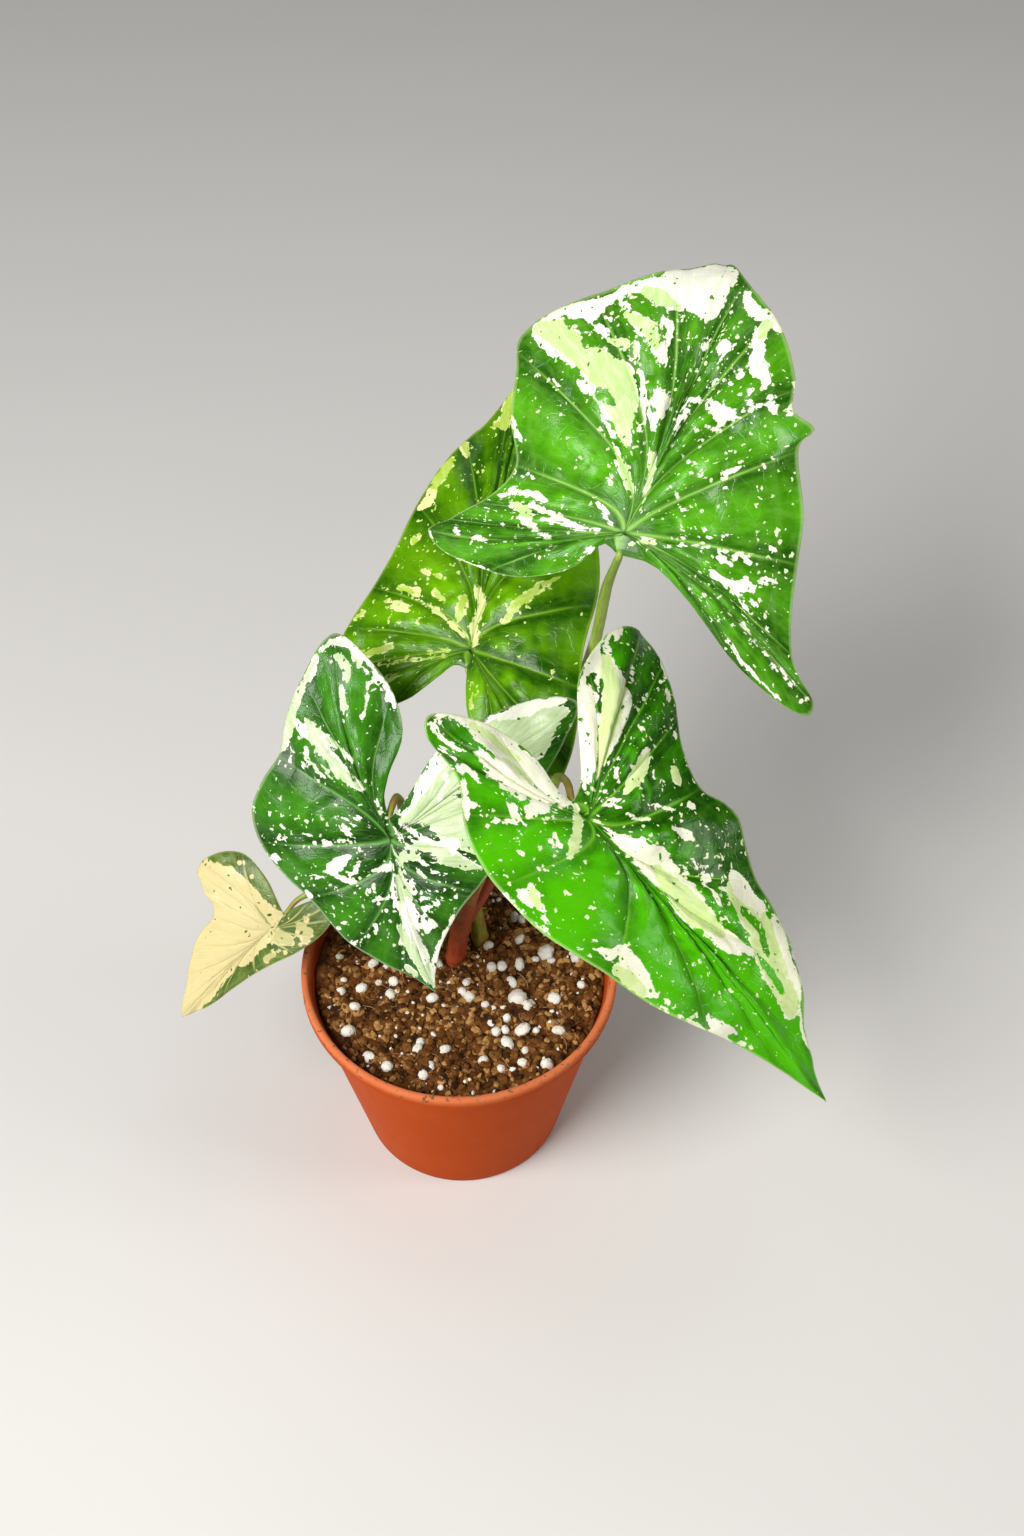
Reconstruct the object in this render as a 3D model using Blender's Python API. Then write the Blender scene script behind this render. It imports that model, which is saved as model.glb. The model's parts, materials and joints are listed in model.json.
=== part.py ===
# Arrowhead plant, variegated, in a plastic nursery pot.
# Metres in the scene; every driving dimension below is in millimetres and degrees.
# The origin is the centre of the pot's underside, +Z up, the photo's camera on the -Y side.
import math

import bmesh
import bpy
import numpy as np

for old in list(bpy.data.objects):
    bpy.data.objects.remove(old, do_unlink=True)

MM = 0.001
SEED = 11

# ---- pot
POT_HEIGHT = 95.0
POT_BASE_R = 40.0
POT_WALL_TOP_R = 57.0
POT_RIM_R = 60.0
POT_LIP_HEIGHT = 6.0
POT_WALL = 1.3
POT_FLOOR = 1.8
POT_SIDES = 48
DRAIN_HOLES = 6
DRAIN_R = 4.0
DRAIN_CIRCLE_R = 27.0

# ---- soil
GAP = 0.3
SOIL_TOP = 88.5
SOIL_BUMP = 1.1
SOIL_SIDES = 44
SOIL_RINGS = 9
PERLITE_GRAINS = 34
PERLITE_R = (1.3, 2.5)

# ---- stems: the foot of each stands upright in a plain hole in the soil
HOLE_FLOOR = 62.0
STEM_CLEARANCE = 0.6
TUBE_SIDES = 10

# ---- leaves
BLADE_THICKNESS = 0.7
COLUMNS_PER_VEIN = 3
VEINS = (2, 3, 4)            # sectors: sinus side of a lobe, outer side of a lobe, blade
ROWS = 6
CROWDING = 1.35              # columns gather toward the tips
PULL = 1.7                   # how strongly the veins follow the rib they leave

# Each outline starts at the hub (0, 0), where the petiole joins, and runs along the left lobe,
# the tip and the right lobe; y points along the midrib. marks: left lobe tip, left waist,
# blade tip, right waist, right lobe tip. ribs: control points of left lobe rib, midrib, right rib.
LEAVES = {
    "leaf_top": dict(
        hub=(54, 34, 276), aim=(66, 46, 0), droop=(84, 113, 4), lobe=(20, 60), fold=8, arch=(30, 55),
        wave=(1.3, 5, 0.4),
        outline=[(0, 0), (-6, 2), (-10, -5), (-17, -11), (-32, -17), (-49, -18), (-64, -17),
                 (-72, -12), (-62, -4), (-49, 6), (-43, 18), (-49, 31), (-53, 48), (-56, 60),
                 (-42, 74), (-22, 86), (-4, 104), (2, 107), (9, 100), (28, 83), (37, 70),
                 (40, 59), (49, 55), (46, 47), (54, 26), (58, 3), (64, -17), (75, -31), (72, -36),
                 (51, -26), (36, -15), (24, -6), (12, 0)],
        marks=(7, 10, 17, 23, 27), ribs=((-32, -7), (-2, 62), (38, -2))),
    "leaf_right": dict(
        hub=(40, -23, 220), aim=(-42, -31, 2), droop=(22, 125, 1), lobe=(-5, 55), fold=12, arch=(25, 42),
        wave=(1.2, 5, 1.9),
        outline=[(0, 0), (-6, -3), (-13, -11), (-21, -21), (-31, -30), (-45, -34), (-59, -34),
                 (-69, -28), (-69, -18), (-58, -3), (-46, 12), (-42, 25), (-46, 36), (-43, 48),
                 (-38, 60), (-38, 73), (-31, 94), (-21, 116), (-15, 138), (-9, 123), (3, 99),
                 (20, 71), (29, 49), (38, 26), (40, 5), (38, -12), (30, -26), (27, -38),
                 (27, -47), (22, -51), (10, -41), (3, -29), (1, -17), (2, -7)],
        marks=(7, 11, 18, 24, 29), ribs=((-34, -16), (-5, 76), (18, -22))),
    "leaf_front": dict(
        hub=(-23, 2, 180), aim=(-84, -50, 18), droop=(18, 75, 1), lobe=(15, 55), fold=10, arch=(22, 50),
        wave=(1.1, 4, 0.9),
        outline=[(0, 0), (-5, -4), (-11, -12), (-19, -23), (-31, -31), (-46, -38), (-60, -41),
                 (-69, -38), (-64, -26), (-52, -7), (-42, 10), (-32, 23), (-23, 33), (-15, 46),
                 (-11, 57), (-10, 65), (-5, 61), (7, 54), (19, 44), (29, 31), (40, 20), (49, 8),
                 (51, -4), (45, -15), (38, -24), (36, -34), (28, -52), (17, -65), (4, -55),
                 (-5, -41), (-7, -29), (-2, -18), (1, -9)],
        marks=(7, 10, 15, 21, 27), ribs=((-32, -14), (-3, 36), (15, -26))),
    "leaf_back": dict(
        hub=(4, 55, 200), aim=(79, 30, -10), droop=(20, 124, 1), lobe=(15, 50), fold=10, arch=(25, 47),
        wave=(1.6, 4, 2.6),
        outline=[(0, 0), (-5, 1), (-10, -4), (-20, -13), (-32, -17), (-43, -12), (-51, 4),
                 (-48, 14), (-43, 28), (-36, 47), (-30, 66), (-21, 86), (-10, 108), (-2, 128),
                 (10, 113), (23, 91), (34, 66), (41, 44), (43, 28), (41, 10), (43, -10), (42, -30),
                 (36, -43), (26, -42), (12, -30), (4, -18), (1, -8)],
        marks=(5, 8, 13, 18, 22), ribs=((-24, -4), (0, 70), (21, -18))),
    "leaf_low": dict(
        hub=(-64, 0, 126), aim=(-155, -42, -30), droop=(15, 62, 1), lobe=(5, 25), fold=10, arch=(20, 30),
        wave=(0.7, 4, 0.2),
        outline=[(0, 0), (-1, -6), (-4, -13), (-9, -17), (-14, -14), (-15, -5), (-13, 6), (-10, 15),
                 (-7, 26), (-5, 38), (-3, 50), (2, 65), (8, 55), (14, 42), (18, 32), (19, 21),
                 (26, 18), (35, 16), (37, 11), (33, 1), (25, -5), (14, -5), (5, -2)],
        marks=(3, 6, 11, 15, 18), ribs=((-7, -5), (2, 36), (17, 5))),
}

# paths of the stems: (x, y, z, radius); the first path of each starts in the soil
STEMS = {
    "stem_red": [
        [(-2, 6, HOLE_FLOOR, 3.0), (-2, 6, 84, 3.1), (-2, 6, 92, 3.1), (1, 8, 112, 3.1), (8, 11, 136, 2.8),
         (15, 11, 152, 2.4), (25, 8, 173, 2.3), (32, 4, 190, 2.1), (35, 0, 204, 2.0), (37, -7, 213, 1.9),
         (38.5, -14, 217.5, 1.8), (39.4, -21.5, 218.8, 1.6)],
        [(1, 8.6, 108, 2.4), (10, 16.5, 121, 2.6), (22, 30, 140, 2.5), (36, 45, 165, 2.4), (45, 56, 192, 2.2),
         (49, 58.5, 208, 2.1), (50.5, 56, 222, 2.0), (52, 50, 245, 2.0), (54, 40, 266, 1.9),
         (54.4, 34, 274.7, 1.7)],
    ],
    "stem_olive": [
        [(7, 16, HOLE_FLOOR, 2.4), (7, 16, 84, 2.5), (7, 16, 92, 2.5), (4, 22, 118, 2.4),
         (5, 33, 150, 2.2), (8, 46, 178, 2.0), (7, 53, 191, 1.9), (4.4, 55.5, 198.4, 1.6)],
    ],
    "stem_small": [
        [(-14, 1, HOLE_FLOOR, 2.3), (-14, 1, 84, 2.4), (-14, 1, 92, 2.4), (-16, 5, 120, 2.2),
         (-18, 12, 150, 2.1), (-19, 15, 170, 2.0), (-20.5, 12, 180, 1.9), (-22.7, 4.3, 179.9, 1.6)],
        [(-14, 1.2, 97, 2.0), (-22, 4, 113, 1.8), (-36, 8, 127, 1.6), (-48, 9, 131, 1.5),
         (-58, 6, 129, 1.4), (-63, 1.7, 125.8, 1.2)],
    ],
}

COLOURS = {
    "leaf": (0.10, 0.36, 0.03),
    "stem": (0.42, 0.20, 0.07),
    "soil": (0.11, 0.06, 0.035),
    "pot": (0.56, 0.13, 0.035),
}


def material(name, colour, roughness):
    made = bpy.data.materials.new(name)
    made.use_nodes = True
    shader = made.node_tree.nodes["Principled BSDF"]
    shader.inputs["Base Color"].default_value = (*colour, 1.0)
    shader.inputs["Roughness"].default_value = roughness
    made.diffuse_color = (*colour, 1.0)
    return made


def addObject(name, points, faces, made=None, smooth=True):
    """A mesh object from points in millimetres, its faces turned outward."""
    mesh = bpy.data.meshes.new(name)
    mesh.from_pydata([tuple(p) for p in np.asarray(points, float) * MM], [], [tuple(f) for f in faces])
    work = bmesh.new()
    work.from_mesh(mesh)
    bmesh.ops.recalc_face_normals(work, faces=work.faces)
    work.to_mesh(mesh)
    work.free()
    mesh.polygons.foreach_set("use_smooth", [smooth] * len(mesh.polygons))
    made_object = bpy.data.objects.new(name, mesh)
    bpy.context.scene.collection.objects.link(made_object)
    if made is not None:
        mesh.materials.append(made)
    return made_object


def combine(target, tools, operation):
    """One Boolean of a collection of tools on the target, applied, then the tools removed."""
    group = bpy.data.collections.new("tools")
    bpy.context.scene.collection.children.link(group)
    for tool in tools:
        bpy.context.scene.collection.objects.unlink(tool)
        group.objects.link(tool)
        tool.hide_render = True
        tool.display_type = "WIRE"
    step = target.modifiers.new("combine", "BOOLEAN")
    step.operation = operation
    step.operand_type = "COLLECTION"
    step.collection = group
    step.solver = "MANIFOLD"
    graph = bpy.context.evaluated_depsgraph_get()
    result = bpy.data.meshes.new_from_object(target.evaluated_get(graph))
    target.modifiers.remove(step)
    target.data = result
    for tool in tools:
        bpy.data.objects.remove(tool, do_unlink=True)
    bpy.data.collections.remove(group)
    return target


def curveThrough(points, count):
    """Dense Catmull-Rom curve through the points: h = Hermite cubic between neighbours."""
    p = np.asarray(points, float)
    slope = np.gradient(p, axis=0)
    u = np.linspace(0, len(p) - 1, count)
    i = np.minimum(u.astype(int), len(p) - 2)
    f = (u - i)[:, None]
    return ((2 * f**3 - 3 * f**2 + 1) * p[i] + (f**3 - 2 * f**2 + f) * slope[i]
            + (3 * f**2 - 2 * f**3) * p[i + 1] + (f**3 - f**2) * slope[i + 1])


def spaced(points, count, crowd):
    """count + 1 points along a polyline; crowd 1 gathers them at its end, -1 at its start."""
    length = np.concatenate([[0], np.cumsum(np.linalg.norm(np.diff(points, axis=0), axis=1))])
    f = np.linspace(0, 1, count + 1)
    at = length[-1] * (1 - (1 - f) ** CROWDING if crowd > 0 else f**CROWDING)
    return np.stack([np.interp(at, length, points[:, k]) for k in range(points.shape[1])], axis=1)


# ---- leaves

def marginColumns(leaf):
    """Margin points M(s), the vein sector position of each column, and the pull of each rib."""
    closed = np.array(leaf["outline"] + [(0, 0)], float)
    lobeL, waistL, tip, waistR, lobeR = leaf["marks"]
    end = len(closed) - 1
    left = curveThrough(closed[:tip + 1], 40 * tip + 1)
    right = curveThrough(closed[tip:], 40 * (end - tip) + 1)
    dense = np.concatenate([left, right[1:]])
    spans = [(0, lobeL), (lobeL, waistL), (waistL, tip), (tip, waistR), (waistR, lobeR), (lobeR, end)]
    sectors = [VEINS[0], VEINS[1], VEINS[2], VEINS[2], VEINS[1], VEINS[0]]
    columns = []
    for (a, b), n, crowd in zip(spans, sectors, (1, -1, 1, -1, 1, -1)):
        columns.append(spaced(dense[40 * a:40 * b + 1], n * COLUMNS_PER_VEIN, crowd)[:-1])
    margin = np.concatenate(columns)
    sector = np.arange(len(margin)) / COLUMNS_PER_VEIN
    knots = np.concatenate([[0], np.cumsum(sectors)])
    ribL = np.interp(sector, [0, knots[1], knots[2], knots[2] + 1], [0.1, 1, 0.12, 0])
    ribR = np.interp(sector, [knots[4] - 1, knots[4], knots[5], knots[6]], [0, 0.12, 1, 0.1])
    mid = np.interp(sector, knots[1:6], [0, 0.2, 1, 0.2, 0])
    return margin, sector, (ribL, mid, ribR)


def bend(leaf, x, y, lift):
    """Flat leaf coordinates to the world: the spine droops, the halves fold up and arch down."""
    heading, pitch, roll = np.radians(leaf["aim"])
    ahead = np.array([math.cos(heading) * math.cos(pitch), math.sin(heading) * math.cos(pitch), math.sin(pitch)])
    side = np.array([math.sin(heading), -math.cos(heading), 0.0])
    above = np.cross(side, ahead)
    side = math.cos(roll) * side - math.sin(roll) * above
    above = np.cross(side, ahead)
    droop, reach, power = leaf["droop"]
    lobeBend, lobeReach = leaf["lobe"]
    arch, archReach = leaf["arch"]
    along = np.linspace(0, 180, 361)
    step = along[1]

    def integrate(angle):
        middle = 0.5 * (angle[1:] + angle[:-1])
        return (np.concatenate([[0], np.cumsum(np.cos(middle) * step)]),
                np.concatenate([[0], np.cumsum(np.sin(middle) * step)]))

    front = -np.radians(droop * np.minimum((along / reach) ** power, 1.35))
    back = np.radians(lobeBend * along / lobeReach)
    half = np.radians(leaf["fold"] - arch * along / archReach)
    fa, fb = integrate(front)
    ba, bb = integrate(back)
    ha, hb = integrate(half)
    ahead_y = y >= 0
    a = np.where(ahead_y, np.interp(y, along, fa), -np.interp(-y, along, ba))
    b = np.where(ahead_y, np.interp(y, along, fb), -np.interp(-y, along, bb))
    angle = np.where(ahead_y, np.interp(y, along, front), np.interp(-y, along, back))
    cx = np.sign(x) * np.interp(np.abs(x), along, ha)
    cz = np.interp(np.abs(x), along, hb) + lift
    normal = -np.sin(angle)[:, None] * ahead + np.cos(angle)[:, None] * above
    return (np.array(leaf["hub"], float) + a[:, None] * ahead + b[:, None] * above
            + cx[:, None] * side + cz[:, None] * normal)


def flatBlade(leaf):
    """Flat points F(s,t), t, vein sector and column count: F is the rational Bezier
    ((1-t)^2 C + 2t(1-t) w K(s) + t^2 M(s)) / ((1-t)^2 + 2t(1-t) w + t^2), the pole C first."""
    margin, sector, pulls = marginColumns(leaf)
    centre = np.array([0.0, 7.0])
    ribs = [np.array(r, float) for r in leaf["ribs"]]
    control = centre + sum(p[:, None] * (r - centre) for p, r in zip(pulls, ribs))
    t = np.linspace(0, 1, ROWS + 1)[1:][:, None, None]
    top = (1 - t) ** 2 * centre + 2 * t * (1 - t) * PULL * control + t**2 * margin
    flat = top / ((1 - t) ** 2 + 2 * t * (1 - t) * PULL + t**2)
    flat = np.concatenate([centre[None, :], flat.reshape(-1, 2)])
    rows = np.concatenate([[0], np.repeat(t.ravel(), len(margin))])
    where = np.concatenate([[0], np.tile(sector, ROWS)])
    return flat, rows, where, len(margin)


def leafBlade(name, leaf, made):
    """The flat blade lifted by quilting sin^2 between veins and a margin wave t^3 sin,
    then bent and thickened along its normals."""
    flat, rows, where, count = flatBlade(leaf)
    amplitude, waves, phase = leaf["wave"]
    turn = where / where.max() * 2 * math.pi
    calm = 1 - np.exp(-(flat[:, 0] ** 2 + flat[:, 1] ** 2) / 18**2)      # the margin lies still at the hub
    lift = (1.3 * calm * np.sin(math.pi * where) ** 2 * np.sin(math.pi * np.minimum(rows * 1.05, 1))
            + calm * amplitude * rows**3 * np.sin(waves * 2 * turn + phase) * (0.7 + 0.3 * np.sin(turn)))
    mid = bend(leaf, flat[:, 0], flat[:, 1], lift)
    faces = [(0, 1 + k, 1 + (k + 1) % count) for k in range(count)]
    for row in range(ROWS - 1):
        a = 1 + row * count
        for k in range(count):
            n = (k + 1) % count
            faces += [(a + k, a + count + k, a + count + n), (a + k, a + count + n, a + n)]
    tri = np.array(faces)
    cross = np.cross(mid[tri[:, 1]] - mid[tri[:, 0]], mid[tri[:, 2]] - mid[tri[:, 0]])
    normals = np.zeros_like(mid)
    for corner in range(3):
        np.add.at(normals, tri[:, corner], cross)
    normals /= np.linalg.norm(normals, axis=1)[:, None]
    upper = mid + normals * BLADE_THICKNESS / 2
    lower = mid - normals * BLADE_THICKNESS / 2
    total = len(mid)
    last = total - count
    rim = []
    for k in range(count):
        n = (k + 1) % count
        rim += [(last + k, total + last + k, total + last + n), (last + k, total + last + n, last + n)]
    under = [tuple(total + v for v in reversed(f)) for f in faces]
    return addObject(name, np.concatenate([upper, lower]), faces + under + rim, made)


# ---- stems

def tube(name, path, made):
    """A round tube along a smooth path, closed with a flat fan at each end."""
    line = curveThrough(path, (len(path) - 1) * 3 + 1)
    spine, radius = line[:, :3], line[:, 3]
    forward = np.gradient(spine, axis=0)
    forward /= np.linalg.norm(forward, axis=1)[:, None]
    side = np.cross(forward, np.array([0.35, 0.9, 0.25]))
    side /= np.linalg.norm(side, axis=1)[:, None]
    other = np.cross(forward, side)
    turn = np.arange(TUBE_SIDES) * 2 * math.pi / TUBE_SIDES
    ring = (spine[:, None, :] + radius[:, None, None] * (np.cos(turn)[None, :, None] * side[:, None, :]
            + np.sin(turn)[None, :, None] * other[:, None, :]))
    points = np.concatenate([ring.reshape(-1, 3), spine[:1], spine[-1:]])
    n = len(spine)
    faces = []
    for i in range(n - 1):
        for k in range(TUBE_SIDES):
            a = i * TUBE_SIDES + k
            b = i * TUBE_SIDES + (k + 1) % TUBE_SIDES
            faces.append((a, b, b + TUBE_SIDES, a + TUBE_SIDES))
    for k in range(TUBE_SIDES):
        j = (k + 1) % TUBE_SIDES
        faces.append((j, k, n * TUBE_SIDES))
        faces.append(((n - 1) * TUBE_SIDES + k, (n - 1) * TUBE_SIDES + j, n * TUBE_SIDES + 1))
    return addObject(name, points, faces, made)


# ---- lathed bodies

def lathe(name, profile, sides, made, smooth=True):
    """A closed body turned round Z from a profile of (radius, height); radius 0 ends it on the axis."""
    points, rings = [], []
    for radius, height in profile:
        if radius == 0:
            rings.append([len(points)])
            points.append((0, 0, height))
        else:
            start = len(points)
            rings.append(list(range(start, start + sides)))
            points += [(radius * math.cos(2 * math.pi * k / sides), radius * math.sin(2 * math.pi * k / sides),
                        height) for k in range(sides)]
    faces = []
    for a, b in zip(rings[:-1], rings[1:]):
        for k in range(sides):
            n = (k + 1) % sides
            if len(a) == 1:
                faces.append((a[0], b[k], b[n]))
            elif len(b) == 1:
                faces.append((a[k], b[0], a[n]))
            else:
                faces.append((a[k], b[k], b[n], a[n]))
    return addObject(name, points, faces, made, smooth)


def wallRadius(height):
    return POT_BASE_R + (POT_WALL_TOP_R - POT_BASE_R) * height / (POT_HEIGHT - POT_LIP_HEIGHT)


leafMaterial = material("leaf", COLOURS["leaf"], 0.35)
stemMaterial = material("stem", COLOURS["stem"], 0.5)
soilMaterial = material("soil", COLOURS["soil"], 0.95)
potMaterial = material("pot", COLOURS["pot"], 0.5)

for name, leaf in LEAVES.items():
    leafBlade(name, leaf, leafMaterial)

for name, paths in STEMS.items():
    body = tube(name, paths[0], stemMaterial)
    if len(paths) > 1:
        combine(body, [tube("branch", path, stemMaterial) for path in paths[1:]], "UNION")

lipFoot = POT_HEIGHT - POT_LIP_HEIGHT
potProfile = [
    (0, 0), (14, 0), (POT_BASE_R - 1.2, 0), (POT_BASE_R - 0.3, 0.3), (POT_BASE_R, 1.2),
    (wallRadius(30), 30), (wallRadius(60), 60), (POT_WALL_TOP_R, lipFoot),
    (POT_RIM_R - 0.9, lipFoot), (POT_RIM_R - 0.2, lipFoot + 0.7),
    (POT_RIM_R, POT_HEIGHT - 1.0), (POT_RIM_R - 0.6, POT_HEIGHT - 0.2), (POT_RIM_R - 1.6, POT_HEIGHT),
    (POT_RIM_R - 2.3, POT_HEIGHT - 0.4), (POT_WALL_TOP_R - POT_WALL + 0.4, lipFoot + 1.5),
    (POT_WALL_TOP_R - POT_WALL, lipFoot - 1.5),
    (wallRadius(60) - POT_WALL, 60), (wallRadius(30) - POT_WALL, 30),
    (POT_BASE_R - POT_WALL + 0.3, POT_FLOOR + 1.0), (POT_BASE_R - POT_WALL - 0.8, POT_FLOOR),
    (14, POT_FLOOR), (0, POT_FLOOR),
]
pot = lathe("pot", potProfile, POT_SIDES, potMaterial)
drains = []
for k in range(DRAIN_HOLES):
    angle = 2 * math.pi * (k + 0.5) / DRAIN_HOLES
    cutter = lathe("drain", [(0, -2), (DRAIN_R, -2), (DRAIN_R, 4), (0, 4)], 16, potMaterial)
    cutter.location = (DRAIN_CIRCLE_R * math.cos(angle) * MM, DRAIN_CIRCLE_R * math.sin(angle) * MM, 0)
    drains.append(cutter)
bpy.context.view_layer.update()
combine(pot, drains, "DIFFERENCE")

# soil: a plug with a bumpy top h = SOIL_TOP + SOIL_BUMP * (sum of sines), lower at the wall
random = np.random.default_rng(SEED)


def soilHeight(x, y):
    r = np.hypot(x, y)
    bumps = (np.sin(0.21 * x + 1.3) * np.cos(0.26 * y) + 0.6 * np.sin(0.43 * x - 0.37 * y)
             + 0.5 * np.cos(0.55 * y + 0.3 * x + 2.0))
    return SOIL_TOP + SOIL_BUMP * bumps * 0.7 - 1.8 * np.clip((r - 46) / 10, 0, 1) ** 2


soilR = wallRadius(SOIL_TOP - 3) - POT_WALL - GAP
turn = np.arange(SOIL_SIDES) * 2 * math.pi / SOIL_SIDES
soilPoints, soilFaces = [(0, 0, float(soilHeight(0, 0)))], []
for ring in range(1, SOIL_RINGS + 1):
    radius = soilR * ring / SOIL_RINGS
    x, y = radius * np.cos(turn), radius * np.sin(turn)
    soilPoints += list(zip(x, y, soilHeight(x, y)))
for radius, height in ((wallRadius(45) - POT_WALL - GAP, 45), (POT_BASE_R - POT_WALL - GAP - 0.6, POT_FLOOR + 1.4),
                       (POT_BASE_R - POT_WALL - GAP - 1.6, POT_FLOOR + GAP)):
    soilPoints += [(radius * math.cos(a), radius * math.sin(a), height) for a in turn]
soilPoints.append((0, 0, POT_FLOOR + GAP))
rings = SOIL_RINGS + 3
for k in range(SOIL_SIDES):
    n = (k + 1) % SOIL_SIDES
    soilFaces.append((0, 1 + k, 1 + n))
    for ring in range(rings - 1):
        a = 1 + ring * SOIL_SIDES
        soilFaces.append((a + k, a + SOIL_SIDES + k, a + SOIL_SIDES + n))
        soilFaces.append((a + k, a + SOIL_SIDES + n, a + n))
    soilFaces.append((1 + (rings - 1) * SOIL_SIDES + k, len(soilPoints) - 1, 1 + (rings - 1) * SOIL_SIDES + n))
soil = addObject("soil", soilPoints, soilFaces, soilMaterial)

# perlite: rough twenty-sided grains, each sunk to a third, none within reach of a stem
grains = []
feet = [paths[0][0] for paths in STEMS.values()]
placed = []
while len(grains) < PERLITE_GRAINS:
    angle, reach = random.uniform(0, 2 * math.pi), 49 * math.sqrt(random.uniform(0, 1))
    x, y = reach * math.cos(angle), reach * math.sin(angle)
    size = random.uniform(*PERLITE_R)
    if any(math.hypot(x - f[0], y - f[1]) < f[3] + size + 2.5 for f in feet):
        continue
    if any(math.hypot(x - p[0], y - p[1]) < size + p[2] + 1.0 for p in placed):
        continue
    placed.append((x, y, size))
    ball = bmesh.new()
    bmesh.ops.create_icosphere(ball, subdivisions=1, radius=size)
    points = np.array([tuple(v.co) for v in ball.verts]) * random.uniform(0.8, 1.15, (len(ball.verts), 1))
    faces = [tuple(v.index for v in f.verts) for f in ball.faces]
    ball.free()
    points += (x, y, float(soilHeight(x, y)) + size * 0.3)
    grains.append(addObject("grain", points, faces, soilMaterial, smooth=False))
combine(soil, grains, "UNION")

holes = []
for foot in feet:
    r = foot[3] + 0.1 + STEM_CLEARANCE
    hole = lathe("hole", [(0, HOLE_FLOOR - GAP), (r, HOLE_FLOOR - GAP), (r, 100), (0, 100)], 20, soilMaterial)
    hole.location = (foot[0] * MM, foot[1] * MM, 0)
    holes.append(hole)
bpy.context.view_layer.update()
combine(soil, holes, "DIFFERENCE")
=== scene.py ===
# Arrowhead plant, variegated, in a plastic nursery pot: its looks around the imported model.
# Sizes are in millimetres and degrees unless a note says otherwise; the scene is in metres.
import json
import math

import bmesh
import bpy
import numpy as np
from mathutils import Matrix, Vector

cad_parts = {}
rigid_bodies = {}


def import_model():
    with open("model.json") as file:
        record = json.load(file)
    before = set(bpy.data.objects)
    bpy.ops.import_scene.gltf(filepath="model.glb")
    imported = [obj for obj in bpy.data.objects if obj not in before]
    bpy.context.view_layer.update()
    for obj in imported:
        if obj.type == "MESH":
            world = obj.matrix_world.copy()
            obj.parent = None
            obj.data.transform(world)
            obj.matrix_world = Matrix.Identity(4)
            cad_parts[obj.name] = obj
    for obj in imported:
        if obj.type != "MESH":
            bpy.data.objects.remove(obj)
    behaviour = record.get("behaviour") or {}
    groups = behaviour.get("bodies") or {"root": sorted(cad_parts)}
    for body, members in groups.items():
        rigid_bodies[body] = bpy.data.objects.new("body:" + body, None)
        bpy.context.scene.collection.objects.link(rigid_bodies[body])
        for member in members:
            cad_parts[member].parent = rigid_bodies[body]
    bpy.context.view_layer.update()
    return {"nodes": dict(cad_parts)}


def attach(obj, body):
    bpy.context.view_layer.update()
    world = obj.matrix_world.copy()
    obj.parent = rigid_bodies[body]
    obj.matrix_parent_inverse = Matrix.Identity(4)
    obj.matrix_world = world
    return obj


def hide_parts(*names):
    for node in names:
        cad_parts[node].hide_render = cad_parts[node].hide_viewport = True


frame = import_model()
mm = 0.001
print("frame loaded:", ", ".join(sorted(frame["nodes"])))

# the camera stands where the photograph was taken from
cameraView = dict(place=(0.020, -0.435, 0.721), down=49.6, lens=46.875, sensorHeight=36.0)
cameraData = bpy.data.cameras.new("camera")
cameraData.sensor_fit = "VERTICAL"
cameraData.sensor_height = cameraView["sensorHeight"]
cameraData.lens = cameraView["lens"]
cameraData.clip_start, cameraData.clip_end = 0.01, 30
camera = bpy.data.objects.new("camera", cameraData)
camera.location = cameraView["place"]
camera.rotation_euler = (math.radians(90 - cameraView["down"]), 0, 0)
bpy.context.scene.collection.objects.link(camera)
bpy.context.scene.camera = camera
bpy.context.scene.view_settings.view_transform = "Standard"


# Meshes

# A mesh object from points in millimetres, four-cornered faces and three-cornered ones.
def newPiece(name, points, quads, tris=(), smooth=True):
    mesh = bpy.data.meshes.new(name)
    faces = np.asarray(quads).tolist() + np.asarray(tris, int).tolist()
    mesh.from_pydata((np.asarray(points, float) * mm).tolist(), [], faces)
    mesh.polygons.foreach_set("use_smooth", np.full(len(faces), smooth))
    piece = bpy.data.objects.new(name, mesh)
    bpy.context.scene.collection.objects.link(piece)
    return piece


# One number for each point of a piece, for its material to read.
def addValues(piece, name, values):
    layer = piece.data.attributes.new(name, "FLOAT", "POINT")
    layer.data.foreach_set("value", np.asarray(values, np.float32))


# A map of a piece: one place for each corner of each face, quads first.
def addMap(piece, name, corners):
    layer = piece.data.uv_layers.new(name=name)
    layer.uv.foreach_set("vector", np.asarray(corners, np.float32).ravel())


# Dresses a piece, hangs it on the root body and hides the CAD parts that it takes the place of.
def settle(piece, finish, slot, *nodes):
    piece.data.materials.append(finish)
    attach(piece, "root")
    if nodes:
        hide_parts(*nodes)
    print("made", piece.name, len(piece.data.polygons), "faces")


# Four-cornered faces between closed rings of points, each to the next point round and the next ring.
def ringQuads(rings, sides):
    i, k = np.arange(rings - 1)[:, None], np.arange(sides)[None, :]
    a, b = i * sides + k, i * sides + (k + 1) % sides
    return np.stack([a, b, b + sides, a + sides], axis=-1).reshape(-1, 4)


# The same with a fan to one more point at each end, turned over where the rings run the other way.
def tubeFaces(rings, sides, flipped=False):
    k = np.arange(sides)
    j, end = (k + 1) % sides, rings * sides
    foot = np.stack([j, k, np.full(sides, end)], axis=1)
    head = np.stack([end - sides + k, end - sides + j, np.full(sides, end + 1)], axis=1)
    quads, tris = ringQuads(rings, sides), np.concatenate([foot, head])
    return (quads[:, [0, 3, 2, 1]], tris[:, ::-1]) if flipped else (quads, tris)


# Angles spread evenly round a circle.
def turns(count):
    return np.arange(count) * 2 * math.pi / count


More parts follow.
